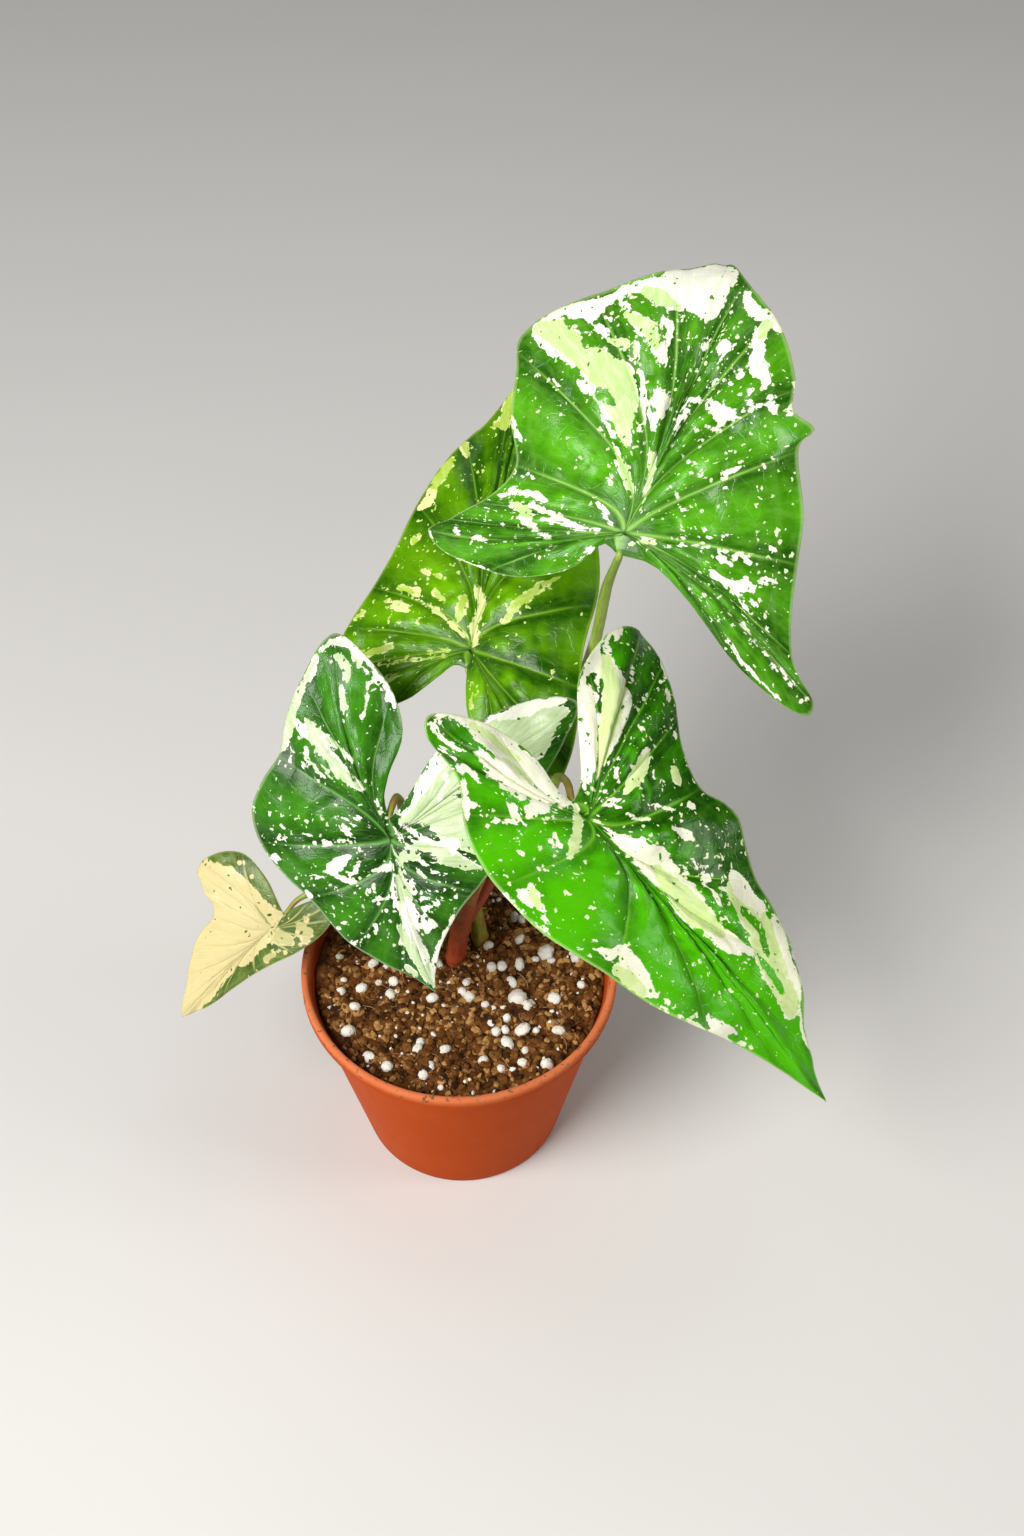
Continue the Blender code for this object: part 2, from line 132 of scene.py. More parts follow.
# The length of each vector: the root of the sum of its squares.
def span(vectors):
    return np.linalg.norm(vectors, axis=-1)


# Each vector divided by its length.
def unit(vectors):
    return vectors / span(vectors)[..., None]


# The distance run along a line of points, from 0 at the first.
def runAlong(line):
    return np.concatenate([[0], np.cumsum(span(np.diff(line, axis=0)))])


# A rolling field near -1 to 1: the sum of plane waves in random directions, each a sine of place.
def rolling(x, y, wavelength, seed, waves=14):
    random = np.random.default_rng(seed)
    heading = random.uniform(0, 2 * math.pi, waves)
    phase = random.uniform(0, 2 * math.pi, waves)
    length = wavelength * random.uniform(0.75, 1.35, waves)
    total = np.zeros(np.shape(x))
    for a, p, w in zip(heading, phase, length):
        total += np.sin(2 * math.pi * (x * math.cos(a) + y * math.sin(a)) / w + p)
    return total / math.sqrt(waves)


# A smooth curve through the points: between two neighbours, the cubic with the mean slopes.
def curveThrough(points, count):
    p = np.asarray(points, float)
    slope = np.gradient(p, axis=0)
    u = np.linspace(0, len(p) - 1, count)
    i = np.minimum(u.astype(int), len(p) - 2)
    f = (u - i)[:, None]
    return ((2 * f**3 - 3 * f**2 + 1) * p[i] + (f**3 - 2 * f**2 + f) * slope[i]
            + (3 * f**2 - 2 * f**3) * p[i + 1] + (f**3 - f**2) * slope[i + 1])


# Leaves

# Outline, hub, aim and bends are the CAD part's own. outline starts at the hub and runs along the left
# lobe, the tip and the right lobe. marks are markings in leaf millimetres, laid in order: w white,
# p pale, g green, each a row of (x, y, radius), and o white dots apart. tonesAndShading are (x, y, reach,
# amount) of a brighter or, below zero, darker green, partly the leaf's own and partly painted light and
# painted shade on halves turned to or from the lamps; specks are the same for how many small marks there are,
# and puckers for a height. wave is (height, waves, start), lobe and arch (angle, reach), droop those and a
# power.
leafShape = dict(rows=104, crowding=1.35, pull=1.7, pole=(0.0, 7.0), veins=(2, 3, 4), halfThick=0.3)
veinOffsets = [0, .012, .03, .06, .10, .16, .24, .33, .42, .50, .58, .67, .76, .84, .90, .94, .97, .988]
veinCount = 18
mainRibs = [2, 9, 16]
leaves = {
    "topLeaf": dict(
        node="leaf_top", seed=1,
        hub=(54, 34, 276), aim=(66, 46, 0), droop=(84, 113, 4), lobe=(20, 60), fold=8, arch=(30, 55),
        wave=(1.3, 5, 0.4),
        outline=[(0, 0), (-6, 2), (-10, -5), (-17, -11), (-32, -17), (-49, -18), (-64, -17),
                 (-72, -12), (-62, -4), (-49, 6), (-43, 18), (-49, 31), (-53, 48), (-56, 60),
                 (-42, 74), (-22, 86), (-4, 104), (2, 107), (9, 100), (28, 83), (37, 70),
                 (40, 59), (49, 55), (46, 47), (54, 26), (58, 3), (64, -17), (75, -31), (72, -36),
                 (51, -26), (36, -15), (24, -6), (12, 0)],
        tips=(7, 10, 17, 23, 27), ribs=((-32, -7), (9, 60), (38, -2)),
        deep=(0.012, 0.090, 0.0), bright=(0.095, 0.42, 0.004),
        pale=(0.53, 0.74, 0.27), white=(0.94, 0.95, 0.80),
        vein=(0.30, 0.62, 0.10), ragged=1.25, speckle=0.40, quilt=4.0,
        puckers=[(46, 54, 7, 2.6), (40, 66, 7, -2.4), (52, 20, 8, 0.8)],
        tonesAndShading=[(-20, 25, 22, 0.5), (15, 25, 22, 0.4), (8, 62, 12, -0.5),
               (-48, -8, 16, -0.1), (50, -18, 25, -0.25)],
        specks=[(20, 60, 30, 0.5), (-15, 70, 25, 0.5), (40, 0, 25, 0.4), (-45, 0, 20, 0.3)],
        marks=[
          ("w", (-50.8, 64.5, 1.3), (-46.3, 68.7, 2), (-41.1, 71.8, 2.5), (-35.6, 73.4, 2.7),
          (-30.9, 75.4, 2.1), (-27.5, 78.2, 1.7), (-24.2, 81, 1.4), (-20.1, 84, 1.6)),
          ("w", (-50.4, 60.8, 0.9), (-46.4, 58.4, 1.1), (-41.6, 56.4, 1.1), (-36.5, 55.6, 1),
          (-32.2, 54, 1.2), (-26.4, 50.4, 1.2), (-21.5, 46.6, 1.1), (-18, 42.6, 1.1), (-14.6, 38.6, 1.1),
          (-9.2, 35.1, 1), (-6.4, 33, 0.6)), ("w", (-9.5, 57.3, 0.8), (-7.2, 52.9, 1.1), (-5.5, 47.7, 1.3),
          (-3.7, 43.3, 1), (-4.7, 39.7, 0.6)), ("w", (-10.5, 92.3, 4.1), (-5.3, 96.5, 4), (0, 101, 4.1),
          (6.4, 98.7, 2.6)), ("p", (-49.9, 63.6, 2.4), (-42.2, 63.1, 4.7), (-33.1, 59.3, 4.4),
          (-24.6, 55.8, 5), (-17, 52.8, 6.3), (-12.8, 46.5, 5.2), (-9.8, 39.9, 3.2), (-6.8, 34.2, 1)),
          ("g", (-21.1, 48, 1), (-17.3, 46.9, 1.9), (-14.5, 44.2, 0.7)), ("w", (-43, 69, 1.3),
          (-38.7, 71.6, 2.3), (-32.9, 71, 2.4), (-30.4, 74, 1.7)), ("w", (-28.8, 67.3, 1.9),
          (-25.5, 66.4, 1.3)), ("g", (-41.5, 69, 0.7), (-38.3, 65.6, 1.2)), ("g", (-33.7, 64.6, 1),
          (-30.4, 62, 1.7), (-26.3, 63, 1.7)), ("w", (-27.8, 76.5, 1.2)), ("w", (-23.7, 77.5, 1),
          (-20.9, 75.3, 1)), ("p", (-23.3, 64.5, 1.2), (-19, 64.7, 1.6), (-14.5, 64.2, 1.3),
          (-12.6, 61.4, 1)), ("g", (-20.6, 69.4, 1.8), (-16.6, 67.9, 2)), ("p", (-21.2, 73.2, 1.2),
          (-15.7, 72.4, 2.3), (-11.4, 70.1, 2.6), (-7.7, 66.9, 1.9), (-4.9, 63.6, 1.6), (-3.2, 61.1, 0.8)),
          ("w", (-27.8, 81.2, 0.7), (-22.2, 82.5, 1.7), (-17, 84.8, 3.1), (-10.9, 86.7, 4.7),
          (-4.9, 89, 6.8), (-0.9, 91.9, 7.4), (3.3, 94.4, 7), (6.5, 90.5, 4.8), (5.5, 84.1, 3.5),
          (4.9, 79, 1.2)), ("p", (-17.1, 82.8, 2.2), (-10.7, 81.9, 3.4), (-6.3, 81.5, 2.5)),
          ("g", (9.4, 99.8, 1.5), (9.7, 92, 2.1), (10.2, 85.7, 2.3), (10.6, 79.7, 2.8)),
          ("w", (13.3, 92.5, 1.3), (15.9, 88, 2.1), (19.1, 86.1, 2.4), (23.8, 84.8, 2.7), (27.4, 82.3, 1.7)),
          ("w", (22.7, 79.7, 2.3), (23.4, 75.5, 1.8), (24.1, 72.3, 2.4), (25.5, 68.5, 2.9),
          (28.8, 66.1, 2.1), (28.8, 63.5, 0.9)), ("p", (23.8, 82.4, 2), (23.7, 78.2, 1.3)),
          ("w", (-7.6, 74.7, 1.5), (-5.5, 73.6, 1.6)), ("w", (13.5, 71.8, 1.8), (13.6, 69.1, 0.8)),
          ("w", (14.4, 60.7, 0.8), (13.1, 58.3, 1)), ("w", (21.3, 65.1, 1.1)), ("w", (15.9, 52.6, 1.9),
          (19.7, 51.2, 3), (22.7, 52, 1.6), (19.9, 48, 0.9)), ("w", (26.7, 57.4, 1.4)), ("w", (33, 58.4, 1),
          (34.8, 56.8, 0.9)), ("w", (8, 52.1, 0.6), (10.7, 53.6, 1)), ("w", (8.6, 49, 1), (7.2, 45.4, 0.7)),
          ("w", (7.5, 38.1, 0.9)), ("p", (-0.2, 35.2, 0.4), (2.2, 32.6, 1.1), (3.2, 27.9, 1.3),
          (3.5, 21.4, 0.8), (3.6, 15.6, 0.5)), ("w", (-1.9, 52, 1.3), (0.8, 49.5, 1.1), (-0.1, 45.1, 1.8),
          (-3.2, 45.1, 1.1), (-0.1, 41.7, 0.8)), ("w", (-4.9, 62.3, 1), (-3.2, 61.1, 0.6)),
          ("p", (-10.3, 31.9, 0.8), (-6.2, 26.9, 1.6), (-2.8, 22.1, 1.6), (-0.6, 18.6, 0.6)),
          ("w", (-11.2, 13.9, 0.6), (-7.7, 11.2, 0.6), (-4.5, 8.4, 0.5)), ("w", (-45.2, 6.8, 0.6),
          (-41.1, 9.8, 1.1), (-36.4, 10.3, 1), (-31.6, 10.6, 1.2), (-28.5, 9.5, 0.8)),
          ("p", (-39.8, 6.1, 1.1), (-34.5, 4.8, 2.4), (-31.8, 2.3, 2.1)), ("w", (-32.4, 7.2, 1),
          (-25.6, 6.3, 1.2), (-19.9, 5.4, 1.3), (-15.3, 4.7, 0.7)), ("w", (-28.9, -0.7, 0.6),
          (-24.2, -1.1, 0.8)), ("w", (-14.4, 4.7, 0.4), (-8.3, 5.3, 0.6)), ("w", (-50.4, -8.8, 0.6),
          (-46, -8.4, 0.8)), ("w", (-58.5, -8.5, 1.2)), ("w", (-71.6, -11.8, 0.4), (-66.9, -17.1, 0.5),
          (-59.7, -19.1, 0.5), (-49.5, -18.2, 0.4), (-41.2, -17.5, 0.4), (-34.9, -18.1, 0.4),
          (-27.8, -16.4, 0.4), (-21.1, -14, 0.5), (-15.1, -10.1, 0.4)), ("w", (-50.7, 36.5, 0.4),
          (-48.2, 30.3, 0.5), (-45.3, 27.5, 1), (-42.6, 25.6, 0.6)), ("w", (-9.7, -1.9, 0.5),
          (-6.8, 0.2, 0.5)), ("p", (3.1, 3.9, 0.5), (7.6, 6.4, 0.9), (10.9, 7, 0.6)), ("w", (14.4, 6.7, 0.3),
          (22.2, 9, 0.4), (27.6, 10.2, 0.3)), ("w", (28.3, 13.3, 0.3), (34, 16.2, 0.6)),
          ("w", (31.5, 3.1, 0.6), (36.2, 1.2, 1.2), (41.2, 1.1, 1.6), (45.2, 1.3, 1.1)),
          ("w", (33.3, 7.8, 1.3), (36, 7.6, 1.1)), ("w", (46.5, 5.1, 0.9), (50.6, 5.5, 1.3)),
          ("w", (37.9, 11.6, 0.8), (41.9, 9.5, 0.8)), ("w", (46.5, 15.8, 0.6), (48.2, 15.5, 0.8)),
          ("w", (46.6, 20.7, 0.8), (48.6, 20.9, 0.6)), ("w", (41.4, -2.2, 0.5), (45.4, -4.5, 0.8)),
          ("w", (45.4, -10.3, 0.5), (48.6, -12.1, 0.7)), ("w", (49.8, -14.1, 0.4), (55.9, -17.7, 0.5)),
          ("w", (58.4, -20.6, 0.5), (62.3, -22.5, 0.8), (66.7, -26, 0.6)), ("w", (39.8, -13.6, 0.3),
          (43.2, -16.8, 0.6), (46.6, -20.2, 0.6), (52.8, -24.6, 0.4), (59.9, -29.2, 0.4),
          (66.9, -33.2, 0.3)), ("w", (70, -28.8, 0.4)), ("w", (72.8, -33.2, 0.4)), ("w", (31, -4.9, 0.7)),
          ("w", (25.4, 33.3, 0.5), (28.7, 35.9, 0.7), (30.8, 37.7, 0.5)), ("w", (17, 30.9, 0.5),
          (19.2, 31.8, 0.6)), ("w", (16.5, 19.1, 0.5), (19, 19.6, 0.5)), ("w", (-28.4, 48.2, 0.7),
          (-25.2, 46.9, 0.7)), ("w", (-42.1, 38.4, 0.4), (-39.2, 37.2, 0.8)), ("w", (-33.3, 54.6, 0.4),
          (-31.4, 53, 0.5)), ("w", (-33.3, 69.6, 1.2), (-30.9, 67, 1), (-27.7, 66.9, 1.2),
          (-25.8, 65.4, 0.8)), ("w", (-23.8, 76.5, 0.9), (-21.4, 76.6, 1)), ("w", (-7.5, 68.7, 0.6),
          (-5.4, 66.4, 0.7), (-4.1, 63.8, 0.8), (-3.2, 61.6, 0.8)), ("w", (-4.5, 70.9, 0.6),
          (-4.8, 68.7, 0.5)), ("w", (-9.1, 64.9, 0.8), (-6.7, 63.9, 0.8), (-4.8, 61.9, 0.7)),
          ("w", (0, 53.8, 0.7), (1.9, 51, 0.7)), ("w", (-2.3, 51.9, 1.1), (-2.2, 49, 1.3), (-0.1, 47.6, 1.1),
          (-0.3, 44.3, 1), (-0.7, 41.7, 0.6)), ("g", (-26.3, 67.9, 0.6), (-24.5, 66.6, 0.7),
          (-22.1, 66.3, 0.6)), ("g", (-21.9, 79.5, 0.6), (-18.9, 78.2, 0.8), (-18.8, 74.9, 0.7)),
          ("g", (-16.5, 77, 0.8), (-13.7, 76.6, 0.7)), ("g", (-25.9, 62, 0.8), (-22.4, 62, 0.6)),
          ("g", (-43.2, 69.6, 0.5), (-41, 67.6, 0.6)), ("g", (-26.6, 78.2, 0.4), (-24, 78.3, 0.4)),
          ("g", (-34, 69, 0.5), (-34.8, 67.6, 0.5)), ("o", (-25.1, 70.7, 0.7), (-27.5, 71.3, 0.6),
          (7.5, 71.9, 0.7), (7.1, 69.7, 0.7), (8, 72.9, 0.5), (2.6, 69, 0.5), (0.7, 72.9, 0.5),
          (3.7, 71.9, 0.4), (18.8, 74.5, 0.6), (15.9, 76.7, 0.7), (16.3, 73.2, 0.6), (15, 81.4, 0.7),
          (14.4, 83.6, 0.5), (12.1, 86.8, 0.6), (10.5, 90, 0.5), (11.1, 84, 0.6), (17, 61.8, 0.6),
          (19, 60.8, 0.7), (22.9, 59, 0.8), (25, 60.3, 0.6), (21.1, 65.5, 0.9), (22.5, 67.6, 0.7),
          (25, 65.6, 0.9), (20.6, 63.5, 0.6), (19.2, 65, 0.5), (30.1, 57.3, 0.6), (25.3, 54.2, 0.6),
          (24.7, 51.6, 0.7), (23.8, 48.9, 0.7), (27.6, 52.4, 0.5), (27.6, 54.9, 0.6), (9.6, 43.5, 0.6),
          (7.2, 42.9, 0.6), (14.8, 41.7, 0.6), (13, 44.8, 0.6), (16, 41.9, 0.5), (10.3, 45.3, 0.5),
          (7.7, 43.9, 0.6), (6.9, 41.2, 0.5), (12.5, 66.4, 0.5), (13.4, 67.5, 0.5), (15.7, 64.4, 0.4),
          (-9.3, 21.9, 0.5), (-20.6, 24.5, 0.5), (-15.6, 34.2, 0.5), (-11.5, 32.9, 0.6), (-9, 30.3, 0.6),
          (-7.1, 28.3, 0.5), (-12.8, 31.7, 0.5)), ("w", (27.2, 61.1, 0.9), (25.4, 60.2, 0.6)),
          ("w", (30.8, 62.6, 0.9), (32.8, 60.3, 0.9), (34.3, 58.3, 1), (35.3, 56.4, 0.8)),
          ("w", (37.3, 68.1, 0.6), (38.9, 65.3, 0.6), (39.5, 61.7, 0.6), (39.6, 58.4, 0.6),
          (39.6, 55.9, 0.5)), ("w", (7.7, 50.4, 0.8), (7.3, 47.8, 0.8), (8.5, 49.4, 0.5)),
          ("w", (16.3, 46.2, 0.5), (20.4, 46.5, 0.6)), ("w", (14.3, 34, 0.4), (16.8, 34.2, 0.4)),
          ("w", (25.8, 32.2, 0.4), (26.8, 32.6, 0.4)), ("w", (-44.5, 48, 0.4), (-43.1, 48.1, 0.4)),
          ("w", (-38.5, 47.6, 0.4), (-35.3, 46.8, 0.5)), ("w", (-42.2, 55.3, 0.5), (-40.5, 54.8, 0.4)),
          ("w", (-35.9, 53.9, 0.4), (-32.7, 52.7, 0.5)), ("o", (18.9, 14.2, 0.5), (21, 14, 0.6),
          (22.8, 15, 0.5), (25.2, 15.2, 0.4), (20.4, 12, 0.5), (23.9, 12.8, 0.5), (22.8, 11.1, 0.4),
          (25.6, 11.3, 0.4), (19.5, 10.9, 0.4), (27.4, 13.4, 0.4), (28.4, 15.5, 0.4), (16, 26.1, 0.4),
          (25.7, 25.6, 0.4), (27.8, 29.5, 0.4), (37.1, 39.2, 0.5), (38.2, 43.6, 0.4), (35.7, 44.9, 0.5),
          (15.9, 39.5, 0.4), (13.5, 23.3, 0.4), (33.4, 10.3, 0.6), (36.4, 7.1, 0.8), (37, 9.3, 0.7),
          (31.9, 9.7, 0.5), (38.9, 11.1, 0.6), (41.2, 11.8, 0.6), (48.1, 16.1, 0.6), (50.3, 6.2, 0.6),
          (47.8, 6.3, 0.6), (49.5, 4.2, 0.5), (51.4, 9.4, 0.6), (51.6, 15.3, 0.5), (53.8, 7.3, 0.4),
          (45.4, 0.7, 0.6), (28, 2.1, 0.4), (35.7, -11, 0.5), (36.8, -10.4, 0.4), (33, -10.1, 0.4),
          (26.4, -3.5, 0.4), (47, -1.8, 0.6), (48.1, -2.7, 0.4), (45.9, -9.3, 0.6), (53.5, -9.7, 0.4),
          (51.6, -5.9, 0.4), (71.7, -30.4, 0.4), (71.4, -32.3, 0.4), (72.9, -29.7, 0.4), (54, -2.7, 0.4)),
          ("w", (41.4, 4.4, 0.7), (44.8, 2.6, 0.7)), ("w", (57.8, -20.3, 0.3), (61.2, -21.7, 0.4)),
          ("w", (-35.1, 2.2, 0.8), (-31.1, 0.4, 0.8), (-28.6, 1.3, 0.6)), ("w", (-27.7, -1.6, 0.6),
          (-23.2, -1.2, 0.5)), ("w", (-26.7, 4.1, 0.5), (-24, 4.3, 0.4)), ("o", (-23.6, 2.9, 0.5),
          (-21.6, 2.4, 0.5), (-22.1, -4.7, 0.5), (-20.7, -3.8, 0.4), (-22.8, -5.4, 0.4), (-16.6, -5.2, 0.5),
          (-15.7, -4.5, 0.4), (-11, -4.8, 0.5), (-10.1, -6.6, 0.4), (-41.1, -1.9, 0.6), (-30.9, 2.5, 0.5),
          (-56.3, -3.2, 0.5), (-47.5, 1.6, 0.5), (-48.2, 0.6, 0.5), (-34.2, -3.4, 0.4), (-37.6, 16.8, 0.4),
          (-39.6, 15.4, 0.4), (-35.7, 15.6, 0.4), (-28.3, -5.6, 0.4), (-37.4, -6.9, 0.4)),
          ("w", (-49.4, -8.5, 0.6), (-45.1, -8.4, 0.5)), ("w", (-60, -7.8, 0.5), (-57.3, -8.7, 0.8)),
          ("w", (-7.7, 84.8, 2.4), (-1.5, 83.4, 2.7), (4.9, 80.2, 1.9)),
        ]),
    "rightLeaf": dict(
        node="leaf_right", seed=2,
        hub=(40, -23, 220), aim=(-42, -31, 2), droop=(22, 125, 1), lobe=(-5, 55), fold=12, arch=(25, 42),
        wave=(1.2, 5, 1.9),
        outline=[(0, 0), (-6, -3), (-13, -11), (-21, -21), (-31, -30), (-45, -34), (-59, -34),
                 (-69, -28), (-69, -18), (-58, -3), (-46, 12), (-42, 25), (-46, 36), (-43, 48),
                 (-38, 60), (-38, 73), (-31, 94), (-21, 116), (-15, 138), (-9, 123), (3, 99),
                 (20, 71), (29, 49), (38, 26), (40, 5), (38, -12), (30, -26), (27, -38),
                 (27, -47), (22, -51), (10, -41), (3, -29), (1, -17), (2, -7)],
        tips=(7, 11, 18, 24, 29), ribs=((-34, -16), (-5, 76), (18, -22)),
        deep=(0.009, 0.080, 0.0), bright=(0.070, 0.46, 0.0),
        pale=(0.62, 0.80, 0.30), white=(0.94, 0.95, 0.76),
        vein=(0.16, 0.50, 0.02), ragged=1.05, speckle=0.31, quilt=3.6,
        puckers=[(-42, 27, 8, -1.6), (-46, 40, 6, 1.2)],
        # partly the leaf's own zones, partly painted light on the half turned to the key lamp and painted
        # shade on the half turned away
        tonesAndShading=[(20, 30, 30, 1.0), (8, 70, 28, 1.0), (-2, 105, 22, 0.9), (30, 0, 22, 0.8), (-25, 25, 22, -0.9),
               (-35, 5, 18, -0.3), (-38, 42, 12, -1.2), (-50, -15, 18, -0.5),
               (-18, 88, 14, 1.2), (-14, 110, 14, 1.4)],
        specks=[(20, 5, 25, 0.4), (-25, 40, 25, 0.6), (-45, -10, 25, 0.5), (-20, 70, 25, 0.4),
                (10, 85, 18, 0.2)],
        marks=[
          ("w", (-5, 0.1, 0.5), (-9.3, -6, 1.5), (-14.7, -12.4, 2.4), (-21, -18.2, 3), (-28.1, -23.8, 3.4),
          (-36.7, -28.7, 3.6), (-46.7, -32.2, 3.2), (-54.9, -33.3, 2.4), (-59.1, -32.9, 1.3)),
          ("p", (-10.4, -0.9, 0.7), (-16.7, -4.5, 1.7), (-23.5, -9, 3), (-30.3, -13.9, 4),
          (-36.6, -19.2, 3.8), (-42, -25.4, 2.7), (-45.1, -28.9, 1.6)), ("w", (-44.5, -25, 0.8),
          (-42.3, -19.9, 1.4), (-39.5, -15.2, 1.9), (-37, -12, 1.5), (-30.2, -8.5, 1.1), (-21.6, -5.1, 0.7)),
          ("w", (3.6, -3, 1.3), (4.8, -7.7, 4.3), (7.3, -14.1, 6.4), (8.4, -22.1, 6.4), (9.3, -28.9, 5.3),
          (11.3, -35.9, 4.2), (12.8, -40.8, 2.1), (15, -44.9, 1.2)), ("w", (12.5, -42.4, 1.2),
          (5.7, -35.2, 1.4), (0.2, -24.9, 1.7), (-0.9, -15.8, 1.5), (-0.1, -9.1, 1.4), (1.6, -2.3, 0.7)),
          ("w", (17.9, -32, 1.7), (16.7, -25, 2.4), (15.3, -18.8, 2.1), (14.6, -13.1, 1.9)),
          ("w", (-30.6, -22.1, 1.1), (-24, -16.1, 1.8), (-17.7, -10.1, 1.6), (-11.3, -4.4, 1.2),
          (-7.4, -1.1, 0.7)), ("w", (10.9, -6.8, 3.8), (15.5, -7.1, 2.1)), ("w", (11.8, -41.9, 1),
          (16.4, -47.3, 0.8), (21.3, -49.6, 0.8), (24.8, -49.1, 0.7)), ("p", (12.2, -40.1, 0.9),
          (9.9, -33.5, 1.9), (8.4, -27.3, 1.4), (7, -22.2, 0.9)), ("p", (11.5, -25.3, 0.7), (10, -19.1, 1.2),
          (8.7, -14, 0.7)), ("g", (22.4, -48.4, 1.2), (20.1, -44.5, 2), (18.6, -39.6, 2.4),
          (18.3, -34.8, 1.2)), ("g", (24.3, -44.2, 1.3), (24.3, -39.7, 1.3), (23.8, -33.8, 1.1),
          (23.2, -29.3, 1.1), (21.7, -24.6, 1.3), (18, -19.7, 1.4), (18.3, -16.9, 1)),
          ("w", (24.7, -35.9, 0.5), (26.4, -30.1, 0.7), (29.1, -25.1, 1), (31.6, -20.9, 0.8),
          (33.3, -18.2, 0.4)), ("w", (29.2, -20.5, 1.1)), ("w", (20.1, -13.6, 0.7), (20.6, -9.3, 1.3),
          (20.1, -4.8, 0.8)), ("w", (28, -12.4, 0.3), (24.4, -10.2, 0.5), (21.8, -6.7, 0.5)),
          ("p", (0.8, 1.4, 0.7), (3.4, 5.3, 1.8), (7.7, 8.5, 1.8), (11.8, 10.7, 2.4), (14.9, 12.5, 1)),
          ("w", (17.8, 4.2, 0.7), (15.4, 5.4, 0.8), (15.6, 8.1, 0.5)), ("g", (11.3, 6.9, 0.9),
          (13.9, 7.6, 0.6)), ("w", (-1.7, 9, 0.3), (-3, 15.3, 1), (-4.2, 21.9, 1.8), (-5.4, 28.5, 2.5),
          (-5.7, 35, 2.4), (-6.1, 41.5, 1.7), (-7.3, 48.6, 1.9), (-8.9, 55.4, 2.4), (-10.8, 62, 3),
          (-12.2, 67.8, 3.2), (-15.8, 72.7, 2.3), (-18.8, 77, 1.1)), ("p", (-8.8, 32.7, 1.7),
          (-10, 38.2, 2.9), (-11.2, 43.8, 3.1), (-12.5, 49.4, 2.6), (-13.2, 53, 1.2)),
          ("w", (-30.8, 54.9, 2.3), (-30.8, 60.1, 3.4), (-30.5, 65.1, 3.6), (-26.5, 66.3, 3.6)),
          ("w", (-35.3, 69.7, 1.2), (-34.9, 76.8, 2.2), (-33, 83.8, 2.4), (-30.3, 90.2, 1.6),
          (-27.8, 96.7, 1.2), (-24.7, 102.8, 0.9), (-22.3, 109.4, 0.6)), ("p", (-23.5, 65, 2.4),
          (-26, 70.1, 2.8)), ("p", (-25.3, 79, 2.1), (-25, 86.1, 3.2), (-23.9, 92.6, 2.9),
          (-23.4, 98.6, 2.1)), ("w", (-20.4, 78.3, 0.7), (-19.8, 84.1, 0.7)), ("w", (-21.7, 86.7, 1.3),
          (-26, 90, 1.2)), ("w", (-21.1, 29.1, 0.9), (-23.2, 31.7, 2.1), (-24.8, 34.1, 1.3)),
          ("p", (-15.6, 8.9, 1), (-20.7, 7.5, 2.5), (-26.3, 5.7, 2.9), (-31, 3.8, 1.7), (-34, 2.6, 0.5)),
          ("p", (-37.6, 13.6, 1.5), (-35.4, 16.3, 2.1), (-34.6, 18.4, 0.9)), ("w", (-4.9, 2.7, 0.3),
          (-10.1, 7.2, 0.6), (-13.1, 10.4, 0.7)), ("w", (-29.2, 26.9, 0.6), (-32.7, 26.3, 1.3),
          (-32.5, 29.2, 0.7)), ("w", (-20.6, 47.3, 1.5)), ("w", (-21.8, 51.8, 0.8), (-23.7, 54.9, 1)),
          ("w", (-15.1, 38.5, 0.3), (-18.7, 42.3, 0.4), (-22.8, 44.9, 0.5)), ("w", (-9.2, 26.8, 0.6),
          (-12.2, 30.1, 0.8), (-14.2, 34.7, 0.6)), ("p", (32, 11.5, 1.1), (33.4, 14.4, 1.8), (34, 17, 1.6)),
          ("w", (35.9, 10.4, 1), (36.7, 13.8, 0.7)), ("w", (35, 20.8, 1)), ("w", (35.7, 26.2, 1)),
          ("w", (39.9, 7.6, 0.3), (38.8, 17.7, 0.4), (36.7, 28, 0.4)), ("w", (27.8, 40, 0.7),
          (24.7, 44.5, 1.9), (20.3, 44.9, 1.5), (20.2, 49, 2.9), (19.9, 54.3, 3.3), (19.7, 58.5, 2.4),
          (20.1, 63.3, 1.6)), ("p", (25.6, 49.8, 1.9), (23.6, 55.9, 2.7), (22.3, 61.6, 1.6)),
          ("w", (16.5, 70.3, 0.9)), ("w", (20.2, 69.4, 0.9)), ("w", (11, 80.3, 0.9)), ("w", (6.4, 86.6, 1.9),
          (5, 90.9, 1.7), (1.8, 94.3, 1.2)), ("w", (22.1, 67.3, 0.4), (16.1, 76.7, 0.4), (10.6, 86.3, 0.5),
          (4.6, 96.4, 0.6), (-1, 102.3, 0.6)), ("w", (-36.5, -3.2, 1.3)), ("w", (-48.6, 4.4, 0.8),
          (-46.7, 6.5, 0.8)), ("w", (-57.7, -6.9, 1.1), (-55.5, -4.8, 1)), ("w", (-62.9, -10.3, 1.2),
          (-66.2, -13.7, 1), (-69.6, -17.6, 0.7)), ("w", (-17.9, 0.7, 0.7), (-16.5, 2.8, 0.8)),
          ("g", (-52.4, -35.5, 0.6), (-46.7, -32.2, 0.7)), ("g", (-53.2, -33.4, 0.6), (-50.3, -30.2, 0.6)),
          ("g", (-44.6, -32.2, 0.8)), ("g", (-36.1, -27.5, 1), (-32.9, -26.4, 1.2), (-32.6, -23.8, 1)),
          ("g", (-32.2, -21, 0.8), (-28.1, -18.5, 0.6), (-27, -16.9, 0.5)), ("g", (20.2, -45, 0.7),
          (19.3, -40.1, 0.8), (18.2, -36.2, 0.8)), ("o", (-60.9, -28, 0.7), (-57.6, -26.4, 0.9),
          (-64.4, -22.1, 0.8), (-61, -21.3, 0.9), (-67.6, -21.9, 0.7), (-51.3, -21.1, 0.8),
